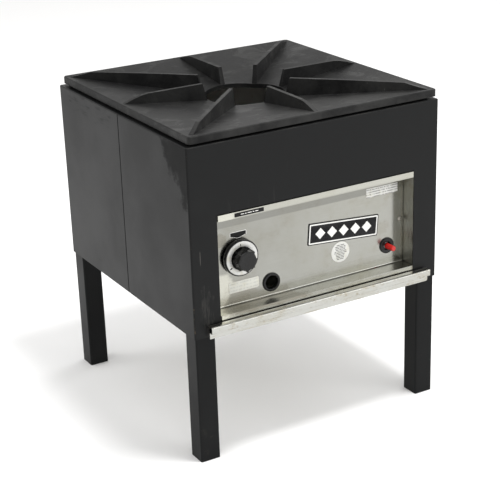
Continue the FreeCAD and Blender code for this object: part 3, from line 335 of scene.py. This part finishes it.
def cast_iron(name, tint=(0.0062, 0.0062, 0.0064), worn=(0.016, 0.016, 0.0155), rusty=False):
    """Matte seasoned cast iron: sand-cast grain, cloudy water stains, pits and bright nicks."""
    finish = Finish(name, tint, 0.6)
    finish.set("Specular IOR Level", 0.13)
    cloud = finish.noise(8, 6, 0.65)
    stain = finish.steps(finish.noise(16, 7, 0.72, None, 0.9), 0.5, 0.62)
    pits = finish.steps(finish.cells(230), 0.0, 0.2, 1, 0)
    spots = finish.times(pits, finish.steps(finish.noise(26, 2), 0.55, 0.62))
    colour = finish.mix(finish.steps(cloud, 0.42, 0.75), tint, worn)
    colour = finish.mix(finish.times(stain, 0.5), colour, tuple(part * 1.35 for part in worn))
    mottle = finish.steps(finish.noise(48, 7, 0.78, None, 0.4), 0.46, 0.66)
    colour = finish.mix(finish.times(mottle, 0.4), colour, tuple(part * 1.3 for part in worn))
    # Paler in cloudy patches over the front of the casting, fading out towards the back.
    pale_clouds = finish.times(finish.steps(finish.axis("Y"), -0.2, 0.06, 1, 0), finish.steps(cloud, 0.35, 0.6))
    colour = finish.mix(finish.times(pale_clouds, 0.8), colour, tuple(part * 1.9 for part in worn))
    colour = finish.mix(finish.times(spots, 0.6), colour, (0.004, 0.004, 0.004))
    nick_place = finish.stretched((60, 420, 60), turn=(0, 0, 0.5))
    nicks = finish.times(finish.steps(finish.noise(1, 2, 0.5, nick_place), 0.725, 0.75),
                         finish.steps(finish.noise(6, 2), 0.54, 0.6))
    colour = finish.mix(finish.times(nicks, 0.6), colour, (0.16, 0.16, 0.15))
    if rusty:
        rust = finish.steps(finish.noise(60, 6, 0.7), 0.5, 0.62)
        colour = finish.mix(finish.times(rust, 0.7), colour, (0.11, 0.045, 0.02))
    finish.drive("Base Color", colour)
    sheen = finish.times(stain, -0.1)
    finish.drive("Roughness", finish.plus(finish.steps(cloud, 0.3, 0.8, 0.42, 0.6), sheen))
    finish.bump(finish.noise(850, 3, 0.7), 0.2, 0.0004)
    finish.bump(finish.noise(130, 5, 0.65), 0.3, 0.001)
    finish.bump(spots, 0.3, -0.0006)
    return finish.material


def brushed_steel(name, colour, rough, grain_axis="X", stain=0.5, marks=None, anisotropic=None, tone=None):
    """Stainless sheet brushed along one axis, with tarnish, heat stains and grime."""
    finish = Finish(name, colour, rough, 1.0)
    scales = {"X": (5, 1100, 1100), "Y": (1100, 5, 1100), "Z": (1100, 1100, 5)}[grain_axis]
    grain = finish.noise(1, 3, 0.6, finish.stretched(scales))
    cloud = finish.noise(10, 5, 0.6)
    blotch = finish.noise(42, 6, 0.7)
    tarnish = tuple(part * warm for part, warm in zip(colour, (0.95, 0.94, 0.9)))
    shade = finish.mix(finish.steps(cloud, 0.4, 0.75), colour, tarnish)
    clouds = finish.plus(finish.times(blotch, 0.6), finish.times(cloud, 0.5))
    dirt = finish.times(finish.steps(clouds, 0.56, 0.72), stain)
    # On the panel the marks include a painted reflection down its right edge, so this mask carries it with
    # the dirt.
    if marks:
        dirt = finish.most(dirt, marks(finish))
    brown = tuple(part * warm for part, warm in zip(colour, (0.62, 0.52, 0.36)))
    shade = finish.mix(finish.times(dirt, 0.75), shade, brown)
    line_place = finish.stretched({"X": (9, 500, 700), "Y": (500, 9, 700), "Z": (500, 700, 9)}[grain_axis])
    lines = finish.steps(finish.noise(1, 2, 0.5, line_place), 0.7, 0.76)
    shade = finish.mix(finish.times(lines, 0.25), shade, tuple(part * 0.6 for part in colour))
    # A tone function paints light and shade into the colour.
    if tone:
        shade = tone(finish, shade, colour, cloud)
    finish.drive("Base Color", shade)
    base = finish.steps(grain, 0.3, 0.7, rough - 0.05, rough + 0.06)
    finish.drive("Roughness", finish.plus(base, finish.times(dirt, 0.2)))
    if anisotropic is not None:
        finish.grain_across(anisotropic)
    finish.bump(grain, 0.05, 0.0002)
    finish.bump(finish.noise(4, 2), 0.1, 0.002)
    return finish.material


def panel_painted_light(finish, shade, colour, cloud):
    """Painted shadow under the brow and darker blotches to the left; painted highlights on the top flange and
    left edge, and a pale patch low on the left.
    """
    # Painted shadow of the brow: a darker band on the panel face just below it.
    brow_shadow = finish.inside("Z", 0.414, 0.44, 0.0014)
    beside = finish.times(finish.steps(finish.axis("X"), -0.14, 0.1, 0.4, 0.0), cloud)
    shade_and_blotches = finish.most(finish.times(brow_shadow, 0.55), beside)
    shade = finish.mix(shade_and_blotches, shade, tuple(part * 0.45 for part in colour))
    # Painted highlight on the lit top flange, stronger at its left end, and on the left edge; the low left
    # patch is only paler.
    flange = finish.times(finish.steps(finish.axis("Y"), -0.2538, -0.253, 1, 0),
                          finish.steps(finish.axis("Z"), 0.436, 0.438))
    edge = finish.steps(finish.axis("X"), -0.196, -0.186, 1, 0)
    low_corner = finish.spot("X", -196, "Z", 300, 34, 40, 0.45, 22)
    flange_highlight = finish.times(flange, finish.steps(finish.axis("X"), -0.175, -0.165, 0.85, 0.4))
    pale = finish.most(flange_highlight, finish.times(edge, 0.8), finish.times(low_corner, 0.7))
    return finish.mix(pale, shade, (0.56, 0.555, 0.49))


def panel_grime_and_reflection(finish):
    """Heat tint under the knob, a rubbed streak by the pointer, grime along the sill, and a painted
    reflection of the cheek down the right edge.
    """
    tint = finish.times(finish.spot("X", -160, "Z", 284, 40, 22, 0.6, 40), 0.3)
    streak = finish.times(finish.spot("X", -180, "Z", 392, 15, 13, 0.5, 50), 0.4)
    sill = finish.times(finish.spot("X", -110, "Z", 267, 90, 4, 0.5, 40), 0.5)
    # Painted reflection: a dark strip down the right edge, where the panel mirrors its right cheek.
    right = finish.times(finish.spot("X", 199, "Z", 330, 2, 110, 0.4, 30), 0.35)
    corner = finish.times(finish.spot("X", -192, "Z", 274, 20, 9, 0.6, 60), 0.5)
    scuff = finish.times(finish.spot("X", 150, "Z", 345, 26, 12, 0.6, 70), 0.22)
    return finish.most(tint, streak, sill, right, corner, scuff)


def handle_marks(finish):
    """Drips and hand grime on the drip tray's handle."""
    slanted = finish.stretched((55, 90, 130), turn=(0, 0.3, 0))
    drips = finish.steps(finish.noise(1, 6, 0.72, slanted), 0.54, 0.66)
    long_stain = finish.steps(finish.noise(1, 4, 0.6, finish.stretched((14, 60, 240))), 0.55, 0.68)
    return finish.most(finish.times(drips, 0.75), finish.times(long_stain, 0.5))


def black_plastic(name, rough=0.38, base=(0.009, 0.009, 0.009), gloss=0.3):
    """Moulded phenolic: near black, faint mould grain and greasy patches."""
    finish = Finish(name, base, rough)
    finish.set("Specular IOR Level", gloss)
    cloud = finish.noise(60, 4, 0.6)
    dusty = tuple(part * 2.4 for part in base)
    finish.drive("Base Color", finish.mix(finish.steps(cloud, 0.45, 0.85), base, dusty))
    finish.drive("Roughness", finish.steps(cloud, 0.3, 0.75, rough - 0.08, rough + 0.12))
    finish.bump(finish.noise(1500, 2), 0.07, 0.0002)
    return finish.material


def plain_metal(name, colour, rough, dark):
    """Turned or drawn metal with oxide clouds."""
    finish = Finish(name, colour, rough, 1.0)
    cloud = finish.noise(55, 6, 0.65)
    shade = finish.steps(cloud, 0.42, 0.72)
    finish.drive("Base Color", finish.mix(finish.times(shade, 0.6), colour, dark))
    finish.drive("Roughness", finish.steps(cloud, 0.3, 0.8, rough, rough + 0.25))
    finish.bump(finish.noise(700, 3), 0.08, 0.0003)
    return finish.material


def label_paper(name, colour, rough=0.5, metallic=0.0, ink=(0.1, 0.1, 0.1), rows=0.0032, strength=0.0):
    """Printed sticker: yellowed and worn, with plain broken bars where fine print would be."""
    finish = Finish(name, colour, rough, metallic)
    cloud = finish.noise(70, 5, 0.6)
    dirt = tuple(part * warm for part, warm in zip(colour, (0.86, 0.83, 0.72)))
    shade = finish.mix(finish.steps(cloud, 0.45, 0.75), colour, dirt)
    if strength:
        row = finish.maths("FRACT", finish.maths("DIVIDE", finish.axis("Z"), rows))
        bar = finish.times(finish.steps(row, 0.3, 0.4), finish.steps(row, 0.7, 0.8, 1, 0))
        words = finish.steps(finish.noise(1, 1, 0.5, finish.stretched((420, 1, 0.5 / rows))), 0.42, 0.47)
        shade = finish.mix(finish.times(finish.times(bar, words), strength), shade, ink)
    finish.drive("Base Color", shade)
    finish.bump(finish.noise(500, 2), 0.05, 0.0002)
    return finish.material


def glossy_red(name):
    finish = Finish(name, (0.5, 0.011, 0.009), 0.3)
    cloud = finish.noise(180, 4, 0.6)
    colour = finish.mix(finish.steps(cloud, 0.4, 0.8), (0.55, 0.012, 0.009), (0.3, 0.01, 0.008))
    finish.drive("Base Color", colour)
    finish.drive("Roughness", finish.steps(cloud, 0.3, 0.8, 0.25, 0.42))
    return finish.material


def white_ink(name):
    """Screen-printed white, rubbed thin in places."""
    white, thin = (0.86, 0.86, 0.83), (0.4, 0.4, 0.38)
    finish = Finish(name, white, 0.5)
    worn = finish.steps(finish.noise(300, 4, 0.7), 0.55, 0.75)
    finish.drive("Base Color", finish.mix(finish.times(worn, 0.25), white, thin))
    return finish.material


# ---------------------------------------------------------------- mesh helpers


def piece(name, verts, faces, material, body, replaces=(), sharp=35):
    """A custom piece from points in millimetres, smooth except across sharp edges."""
    mesh = bpy.data.meshes.new(name)
    mesh.from_pydata([Vector(vert) * MM for vert in verts], [], faces)
    work = bmesh.new()
    work.from_mesh(mesh)
    bmesh.ops.remove_doubles(work, verts=work.verts, dist=1e-6)
    bmesh.ops.recalc_face_normals(work, faces=work.faces)
    for edge in work.edges:
        edge.smooth = len(edge.link_faces) == 2 and edge.calc_face_angle(0) < math.radians(sharp)
    work.to_mesh(mesh)
    work.free()
    mesh.shade_smooth()
    mesh.set_sharp_from_angle(angle=math.radians(sharp))
    mesh.materials.append(material)
    made = bpy.data.objects.new(name, mesh)
    bpy.context.scene.collection.objects.link(made)
    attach(made, body)
    if replaces:
        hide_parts(*replaces)


def loft(rings, closed=False, caps=True):
    """Faces between rings of equal length. Closed joins the last ring to the first."""
    size = len(rings[0])
    verts = [vert for ring in rings for vert in ring]
    faces = []
    count = len(rings)
    for step in range(count if closed else count - 1):
        here, there = step * size, (step + 1) % count * size
        for place in range(size):
            after = (place + 1) % size
            faces.append((here + place, here + after, there + after, there + place))
    if caps and not closed:
        faces.append(tuple(reversed(range(size))))
        faces.append(tuple(range((count - 1) * size, count * size)))
    return verts, faces


def join(*parts):
    """One list of points and faces from several."""
    verts, faces = [], []
    for more, shapes in parts:
        start = len(verts)
        verts += more
        faces += [tuple(index + start for index in shape) for shape in shapes]
    return verts, faces


def ring_at(x, z, radius, y, steps):
    """A circle that faces along Y."""
    angles = [2 * math.pi * step / steps for step in range(steps)]
    return [(x + radius * math.cos(angle), y, z + radius * math.sin(angle)) for angle in angles]


def lathe(profile, x, z, steps=72, closed=False):
    """Turn (radius, y) pairs about an axis along Y."""
    return loft([ring_at(x, z, radius, y, steps) for radius, y in profile], closed)


def arc(centre, radius, start, end, steps=5):
    """Points on an arc in a plane, angles in degrees."""
    points = []
    for step in range(steps + 1):
        angle = math.radians(start + (end - start) * step / steps)
        points.append((centre[0] + radius * math.cos(angle), centre[1] + radius * math.sin(angle)))
    return points


def rounded_box(half_x, half_z, radius, steps=5):
    """Outline of a rectangle with round corners, about the origin."""
    points = []
    for side_x, side_z, start in ((1, 1, 0), (-1, 1, 90), (-1, -1, 180), (1, -1, 270)):
        centre = (side_x * (half_x - radius), side_z * (half_z - radius))
        points += arc(centre, radius, start, start + 90, steps)
    return points


def turned(outline, x, y, z, tilt):
    """An outline turned by tilt degrees about the origin, then moved to a place in space."""
    turn = math.radians(tilt)
    return [(x + across * math.cos(turn) - up * math.sin(turn), y,
             z + across * math.sin(turn) + up * math.cos(turn)) for across, up in outline]


def plate(outline, back, front, edge, x=0.0, z=0.0, tilt=0.0):
    """A plate in the XZ plane with its front edge eased. Its outline turns by tilt degrees."""
    middle_x = sum(point[0] for point in outline) / len(outline)
    middle_z = sum(point[1] for point in outline) / len(outline)
    reach = max(math.hypot(point[0] - middle_x, point[1] - middle_z) for point in outline)
    rings = []
    for y, inset in ((back, 0), (front + edge, 0), (front + edge * 0.3, edge * 0.3), (front, edge)):
        shrink = 1 - inset / reach
        shrunk = [(middle_x + (across - middle_x) * shrink, middle_z + (up - middle_z) * shrink)
                  for across, up in outline]
        rings.append(turned(shrunk, x, y, z, tilt))
    return loft(rings)


def face_of(node):
    """Middle x and z, front y and back y of a node that faces the front, in millimetres."""
    low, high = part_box(node)
    return ((low[0] + high[0]) / 2 / MM, (low[2] + high[2]) / 2 / MM, low[1] / MM, high[1] / MM)


def radius_of(node):
    """Radius of a round node that faces the front, in millimetres."""
    low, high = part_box(node)
    return (high[0] - low[0]) / 2 / MM


def paint(material, *nodes):
    """Give CAD nodes a material."""
    for node in nodes:
        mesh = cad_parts[node].data
        mesh.materials.clear()
        mesh.materials.append(material)


def ease_edges(width, segments, *nodes):
    """Round the sharp edges of CAD nodes a little, so that they catch the light."""
    for node in nodes:
        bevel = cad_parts[node].modifiers.new("eased", "BEVEL")
        bevel.width = width * MM
        bevel.segments = segments
        bevel.limit_method = "ANGLE"
        bevel.angle_limit = math.radians(30)
        bevel.harden_normals = True


# ---------------------------------------------------------------- controls


def eight_sides(radius, ridge, steps=12):
    """Octagon with flats top and bottom and a small raised ridge on each corner."""
    points = []
    for step in range(8 * steps):
        angle = 2 * math.pi * step / (8 * steps)
        across = (math.degrees(angle) % 45) - 22.5
        flat = radius * math.cos(math.radians(22.5)) / math.cos(math.radians(across))
        near = min(1.0, max(0.0, 1.6 - (22.5 - abs(across)) / 3.0))
        points.append((angle, flat + ridge * near * near * (3 - 2 * near)))
    return points


def knob():
    """Skirt turned with a soft rim, and an eight-sided grip with ridged corners and a dished face."""
    x, z, front, back = face_of("gas_knob")
    skirt = radius_of("gas_knob")
    plane = face_of("dial_ring")[3]
    wall, rim, hub = 2.4, 1.6, 8.0
    grip, ridge = 21.0, 1.9
    profile = [(skirt - wall, back), (skirt - 0.4, back), (skirt, back - 0.5), (skirt, plane + rim)]
    profile += [(skirt - rim + rim * math.cos(turn), plane + rim - rim * math.sin(turn))
                for turn in (0.4, 0.8, 1.2, math.pi / 2)]
    profile += [(grip - 1, plane), (hub, plane), (hub, plane + wall), (skirt - wall, plane + wall)]
    sides = eight_sides(grip - ridge, ridge)
    rings = []
    for y, inset in ((plane + 1, 0), (front + 2.2, 0.2), (front + 1.0, 0.5), (front + 0.3, 1.1),
                     (front, ridge)):
        rings.append([(x + (radius - inset) * math.cos(angle), y, z + (radius - inset) * math.sin(angle))
                      for angle, radius in sides])
    for y, radius in ((front + 0.1, 12.35), (front + 0.5, 9.5)):
        rings.append(ring_at(x, z, radius, y, len(sides)))
    verts, faces = join(lathe(profile, x, z, 96, True), loft(rings))
    piece("knob", verts, faces, PHENOLIC, "burner_knob", ("gas_knob",), 40)


def dial():
    """The metal ring on the skirt, with three short index strokes."""
    x, z, front, back = face_of("dial_ring")
    outer, inner = radius_of("dial_ring"), 21.3
    profile = [(inner, back), (inner, front + 0.1), (inner + 0.1, front), (outer - 0.25, front),
               (outer, front + 0.2), (outer, back)]
    verts, faces = lathe(profile, x, z, 96, True)
    piece("dial", verts, faces, DIAL, "burner_knob", ("dial_ring",), 50)
    strokes = []
    for angle, radius, length, width in ((95, 24.6, 4.6, 1.5), (214, 26.6, 5.0, 2.2), (330, 27.0, 2.6, 1.2)):
        outline = rounded_box(length / 2, width / 2, 0.4, 3)
        turn = math.radians(angle)
        strokes.append(plate(outline, front + 0.1, front - 0.06, 0.03, x + radius * math.cos(turn),
                             z + radius * math.sin(turn), angle))
    verts, faces = join(*strokes)
    piece("dial_strokes", verts, faces, PHENOLIC, "burner_knob")


def pointer():
    """Black wedge over the knob on a pale printed edge."""
    low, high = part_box("dial_pointer")
    x = (low[0] + high[0]) / 2 / MM
    half = (high[0] - low[0]) / 2 / MM
    top, tip = high[2] / MM, low[2] / MM
    back, front = high[1] / MM, low[1] / MM
    end = tip + 3.9

    def wedge(grow):
        side, shoulder, high_end = half + grow, end - grow * 0.2, top + grow * 0.6
        return [(side, shoulder), (side, high_end), (side - 1, top + grow), (1 - side, top + grow),
                (-side, high_end), (-side, shoulder), (-2.5, tip - grow), (2.5, tip - grow)]

    verts, faces = plate(wedge(0), back, front - 0.02, 0.1, x)
    piece("pointer", verts, faces, LABEL_BLACK, "cabinet", ("dial_pointer",))
    verts, faces = plate(wedge(1.0), back, back - 0.06, 0.02, x)
    piece("pointer_edge", verts, faces, INK, "cabinet")


def ring_turned(node, name, bore):
    """A flanged bushing with a rolled lip around its open bore."""
    x, z, front, back = face_of(node)
    outer = radius_of(node)
    wall = 1.8
    lip = min(1.4, (PANEL_PLANE - front) * 0.45)
    profile = [(bore, back), (bore, front + lip)]
    profile += [(bore + lip - lip * math.cos(turn), front + lip - lip * math.sin(turn))
                for turn in (0.4, 0.8, 1.2, math.pi / 2)]
    profile += [(outer - lip + lip * math.sin(turn), front + lip - lip * math.cos(turn))
                for turn in (0, 0.4, 0.8, 1.2, math.pi / 2)]
    profile += [(outer, PANEL_PLANE), (bore + wall, PANEL_PLANE), (bore + wall, back)]
    verts, faces = lathe(profile, x, z, 72, True)
    piece(name, verts, faces, PHENOLIC, "cabinet", (node,), 50)


def push_button():
    """The red pin, a little slimmer past its collar and rounded at the front."""
    x, z, front, back = face_of("safety_button")
    radius = radius_of("safety_button")
    collar = face_of("button_bushing")[2]
    profile = [(radius, back), (radius, collar + 1.5), (radius - 0.3, collar + 1.1),
               (radius - 0.3, front + 1.6), (radius - 0.6, front + 0.7), (radius - 1.3, front + 0.2),
               (radius - 2.2, front), (0.8, front + 0.25)]
    verts, faces = lathe(profile, x, z, 48)
    piece("button", verts, faces, RED, "pilot_button", ("safety_button",), 50)


def screw_heads():
    """Pan heads with a cross recess, on the panel's flanges."""
    low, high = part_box("panel_screws")
    front = low[1] / MM
    z = (low[2] + high[2]) / 2 / MM
    head, steps = 4.6, 40
    dome = ((head, PANEL_PLANE + 0.1), (head, front + 1.5), (4.1, front + 0.7), (3.1, front + 0.2),
            (2.3, front))
    made = []
    for x, turn in ((low[0] / MM + head, 0.5), (high[0] / MM - head, 1.1)):
        rings = [ring_at(x, z, radius, y, steps) for radius, y in dome]
        for y in (front, front + 1.2):
            ring = []
            for step in range(steps):
                angle = 2 * math.pi * step / steps
                cross = 2.2 if abs(math.sin(2 * (angle - turn))) < 0.42 else 0.9
                ring.append((x + cross * math.cos(angle), y, z + cross * math.sin(angle)))
            rings.append(ring)
        made.append(loft(rings))
    verts, faces = join(*made)
    piece("panel_screw_heads", verts, faces, ZINC, "cabinet", ("panel_screws",), 40)


# ---------------------------------------------------------------- plates and labels


def badge():
    """Black plate a little out of level, with a white frame line and a row of plain rhombi."""
    x, z, front, back = face_of("badge_plate")
    tilt = -4.7
    verts, faces = plate(rounded_box(75, 20.25, 2.2), back, front, 0.5, x, z, tilt)
    piece("badge", verts, faces, BADGE, "cabinet", ("badge_plate",))
    outer, inner = rounded_box(73.2, 18.5, 1.6), rounded_box(70.8, 16.1, 1.0)
    sunk, raised = front + 0.1, front - 0.05
    corners = ((outer, sunk), (outer, raised), (inner, raised), (inner, sunk))
    marks = [loft([turned(outline, x, y, z, tilt) for outline, y in corners], True)]
    pitch, half = 25.0, 10.5
    for step in range(5):
        middle = (step - 2) * pitch
        shape = [(middle + half, 0), (middle, half), (middle - half, 0), (middle, -half)]
        marks.append(plate(shape, sunk, raised, 0.02, x, z, tilt))
    verts, faces = join(*marks)
    piece("badge_marks", verts, faces, INK, "cabinet")


def thin_label(node, name, material, radius):
    """A sticker as large as its CAD node, with round corners."""
    x, z, front, back = face_of(node)
    low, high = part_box(node)
    half_x, half_z = (high[0] - low[0]) / 2 / MM, (high[2] - low[2]) / 2 / MM
    outline = rounded_box(half_x, half_z, min(radius, half_x - 0.1, half_z - 0.1), 10)
    verts, faces = plate(outline, back, front, 0.08, x, z)
    piece(name, verts, faces, material, "cabinet", (node,))


def round_bars():
    """Centred rows of short dark bars on the round sticker, in place of fine print."""
    x, z, front = face_of("round_label")[:3]
    dice = random.Random(5)
    bars = []
    for row in range(10):
        height = 13.2 - row * 2.95
        room = 0.85 * math.sqrt(17.0 ** 2 - height ** 2) * dice.uniform(0.7, 1.0)
        across = -room
        while across < room - 1.5:
            length = min(dice.uniform(4.0, 9.0), room - across)
            outline = rounded_box(length / 2, 0.55, 0.25, 2)
            bars.append(plate(outline, front + 0.05, front - 0.04, 0.02, x + across + length / 2, z + height))
            across += length + 0.9
    verts, faces = join(*bars)
    piece("round_bars", verts, faces, LABEL_BLACK, "cabinet")


def strip_dashes():
    """Short white dashes along the black strip over the panel."""
    z, front = face_of("strip_label")[1:3]
    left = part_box("strip_label")[0][0] / MM
    dashes = []
    for start, length in ((12, 6), (20, 3), (25, 8), (35, 3), (40, 6)):
        outline = rounded_box(length / 2, 0.6, 0.3, 2)
        dashes.append(plate(outline, front + 0.05, front - 0.04, 0.02, left + start + length / 2, z))
    verts, faces = join(*dashes)
    piece("strip_dashes", verts, faces, INK, "cabinet")


# ---------------------------------------------------------------- drip tray handle


def handle():
    """Folded stainless bar with a rolled top edge over a set-back foot that dips to the right."""
    low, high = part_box("tray_handle")
    left, right = low[0] / MM, high[0] / MM
    front, back, foot, top = low[1] / MM, high[1] / MM, low[2] / MM, high[2] / MM
    skin, bend = 1.5, 2.6
    hem, step = top - 12, back - 4.5
    trim = 3.0
    outer = [(back, top)] + arc((front + bend, top - bend), bend, 90, 180, 6)
    outer += arc((front + 1.2, hem + 1.2), 1.2, 180, 270, 4) + [(step, hem)]
    inner = [(back, top - skin)] + arc((front + bend, top - bend), bend - skin, 90, 180, 6)
    inner += arc((front + 1.5, hem + 1.5), 0.2, 180, 270, 4) + [(step, hem + skin)]
    section = outer + list(reversed(inner))
    stations = [left, left + 0.8] + [left + 6 + (right - left - 12) * t / 24 for t in range(25)]
    stations += [right - trim, right - 1.2, right - 0.3, right]
    bar = loft([[(x, y, z) for y, z in section] for x in stations])
    plate_rings = []
    for x in stations:
        along = (x - left) / (right - left)
        end = max(0.0, 1 - (right - x) / trim)
        bottom = foot + 1.3 * (1 - along) + trim * (1 - math.sqrt(1 - end * end))
        plate_rings.append([(x, step + 0.3, bottom), (x, step, bottom + 0.3), (x, step, top - skin - 0.1),
                            (x, step + skin, top - skin - 0.1), (x, step + skin, bottom + 0.3),
                            (x, step + skin - 0.3, bottom)])
    verts, faces = join(bar, loft(plate_rings))
    piece("handle", verts, faces, HANDLE, "drip_pan", ("tray_handle",), 40)


def panel_bends():
    """The rounded inside corners where the panel folds out into its brow and its sill."""
    low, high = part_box("control_panel")
    left, right = low[0] / MM + 0.4, high[0] / MM - 0.4
    sill, brow = low[2] / MM + 8.6, high[2] / MM - 11
    radius = 2.8
    parts = []
    for level, way in ((sill, 1), (brow, -1)):
        centre = (PANEL_PLANE - radius, level + way * radius)
        curve = arc(centre, radius, 0, -90 * way, 8)
        section = [(PANEL_PLANE + 0.5, level - way * 0.5)] + curve
        parts.append(loft([[(x, y, z) for y, z in section] for x in (left, (left + right) / 2, right)]))
    verts, faces = join(*parts)
    piece("panel_bends", verts, faces, PANEL, "cabinet", sharp=50)


add_camera()
add_studio()

PANEL_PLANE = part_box("badge_plate")[1][1] / MM
PAINT = black_paint("cabinet_paint", 0.0, cabinet_marks)
LEG_PAINT = black_paint("leg_paint", 3.1, leg_marks, 0.09)
PHENOLIC = black_plastic("phenolic", 0.27, (0.0045, 0.0045, 0.0045))
DIAL = label_paper("dial_metal", (0.66, 0.66, 0.64), 0.42, 0.3)
LABEL_BLACK = black_plastic("label_black", 0.5, (0.008, 0.008, 0.008), 0.15)
INK = white_ink("white_ink")
BADGE = black_plastic("badge_black", 0.3, (0.008, 0.008, 0.009), 0.15)
RED = glossy_red("button_red")
ZINC = plain_metal("zinc", (0.42, 0.41, 0.38), 0.35, (0.2, 0.16, 0.1))
STEEL = (0.325, 0.325, 0.3)
HANDLE = brushed_steel("handle_steel", (0.45, 0.45, 0.425), 0.22, "X", 0.6, handle_marks, 0.25)
FOIL = label_paper("foil_label", (0.72, 0.72, 0.69), 0.5, 0.0, (0.06, 0.06, 0.06), 0.0046, 0.7)
CREAM = label_paper("cream_label", (0.68, 0.68, 0.62), 0.45, 0.0, (0.3, 0.3, 0.29), 0.0062, 0.3)

paint(PAINT, "front_wrap", "rear_wrap")
paint(LEG_PAINT, "leg_front_left", "leg_front_right", "leg_rear_left", "leg_rear_right", "leg_end_caps",
      "top_rail_front", "top_rail_right", "top_rail_rear", "top_rail_left",
      "burner_rail_front", "burner_rail_rear", "burner_bar_left", "burner_bar_right", "pipe_bracket")
paint(cast_iron("cast_top"), "top_grate")
paint(cast_iron("burner_iron", (0.02, 0.018, 0.016), (0.05, 0.04, 0.033), True), "burner_ring", "mixing_tube",
      "gas_inlet_pipe")
LINER = brushed_steel("liner_steel", (0.62, 0.62, 0.58), 0.5, "Z", 0.7)
paint(LINER, "liner_front", "liner_rear", "liner_left", "liner_right")
PANEL = brushed_steel("panel_steel", STEEL, 0.19, "X", 0.2, panel_grime_and_reflection, 0.25, panel_painted_light)
paint(PANEL, "control_panel")
paint(brushed_steel("cheek_steel", STEEL, 0.3, "Z", 0.5), "panel_cheek_left", "panel_cheek_right")
paint(brushed_steel("tray_steel", (0.5, 0.49, 0.45), 0.36, "X", 0.8), "drip_tray")
paint(brushed_steel("rail_steel", (0.5, 0.5, 0.48), 0.4, "Y", 0.5), "tray_rail_left", "tray_rail_right",
      "air_shutter", "pilot_bracket", "valve_stem", "button_stem")
paint(ZINC, "liner_screws", "burner_bolts")
paint(plain_metal("brass", (0.65, 0.45, 0.2), 0.35, (0.28, 0.18, 0.08)), "orifice_holder", "burner_valve",
      "tube_nuts", "pilot_burner")
paint(plain_metal("valve_casting", (0.5, 0.5, 0.5), 0.45, (0.25, 0.25, 0.24)), "safety_valve")
paint(plain_metal("bright_tube", (0.68, 0.68, 0.68), 0.3, (0.4, 0.38, 0.34)), "manifold_tube",
      "gas_supply_tube", "pilot_tube")
paint(plain_metal("copper", (0.6, 0.3, 0.16), 0.35, (0.2, 0.1, 0.06)), "thermocouple_lead")

knob()
dial()
pointer()
ring_turned("sight_bushing", "sight_ring", 12.4)
ring_turned("button_bushing", "button_ring", 7.6)
push_button()
screw_heads()
badge()
thin_label("round_label", "round_sticker", label_paper("round_paper", (0.74, 0.74, 0.71)), 30)
round_bars()
thin_label("serial_label", "serial_sticker", FOIL, 1.0)
thin_label("rating_label", "rating_sticker", CREAM, 3.0)
thin_label("strip_label", "strip_sticker", LABEL_BLACK, 0.8)
strip_dashes()
panel_bends()
handle()
ease_edges(0.2, 2, "front_wrap", "rear_wrap")
ease_edges(0.58, 3, "control_panel", "panel_cheek_left", "panel_cheek_right")
ease_edges(1.6, 3, "top_grate")
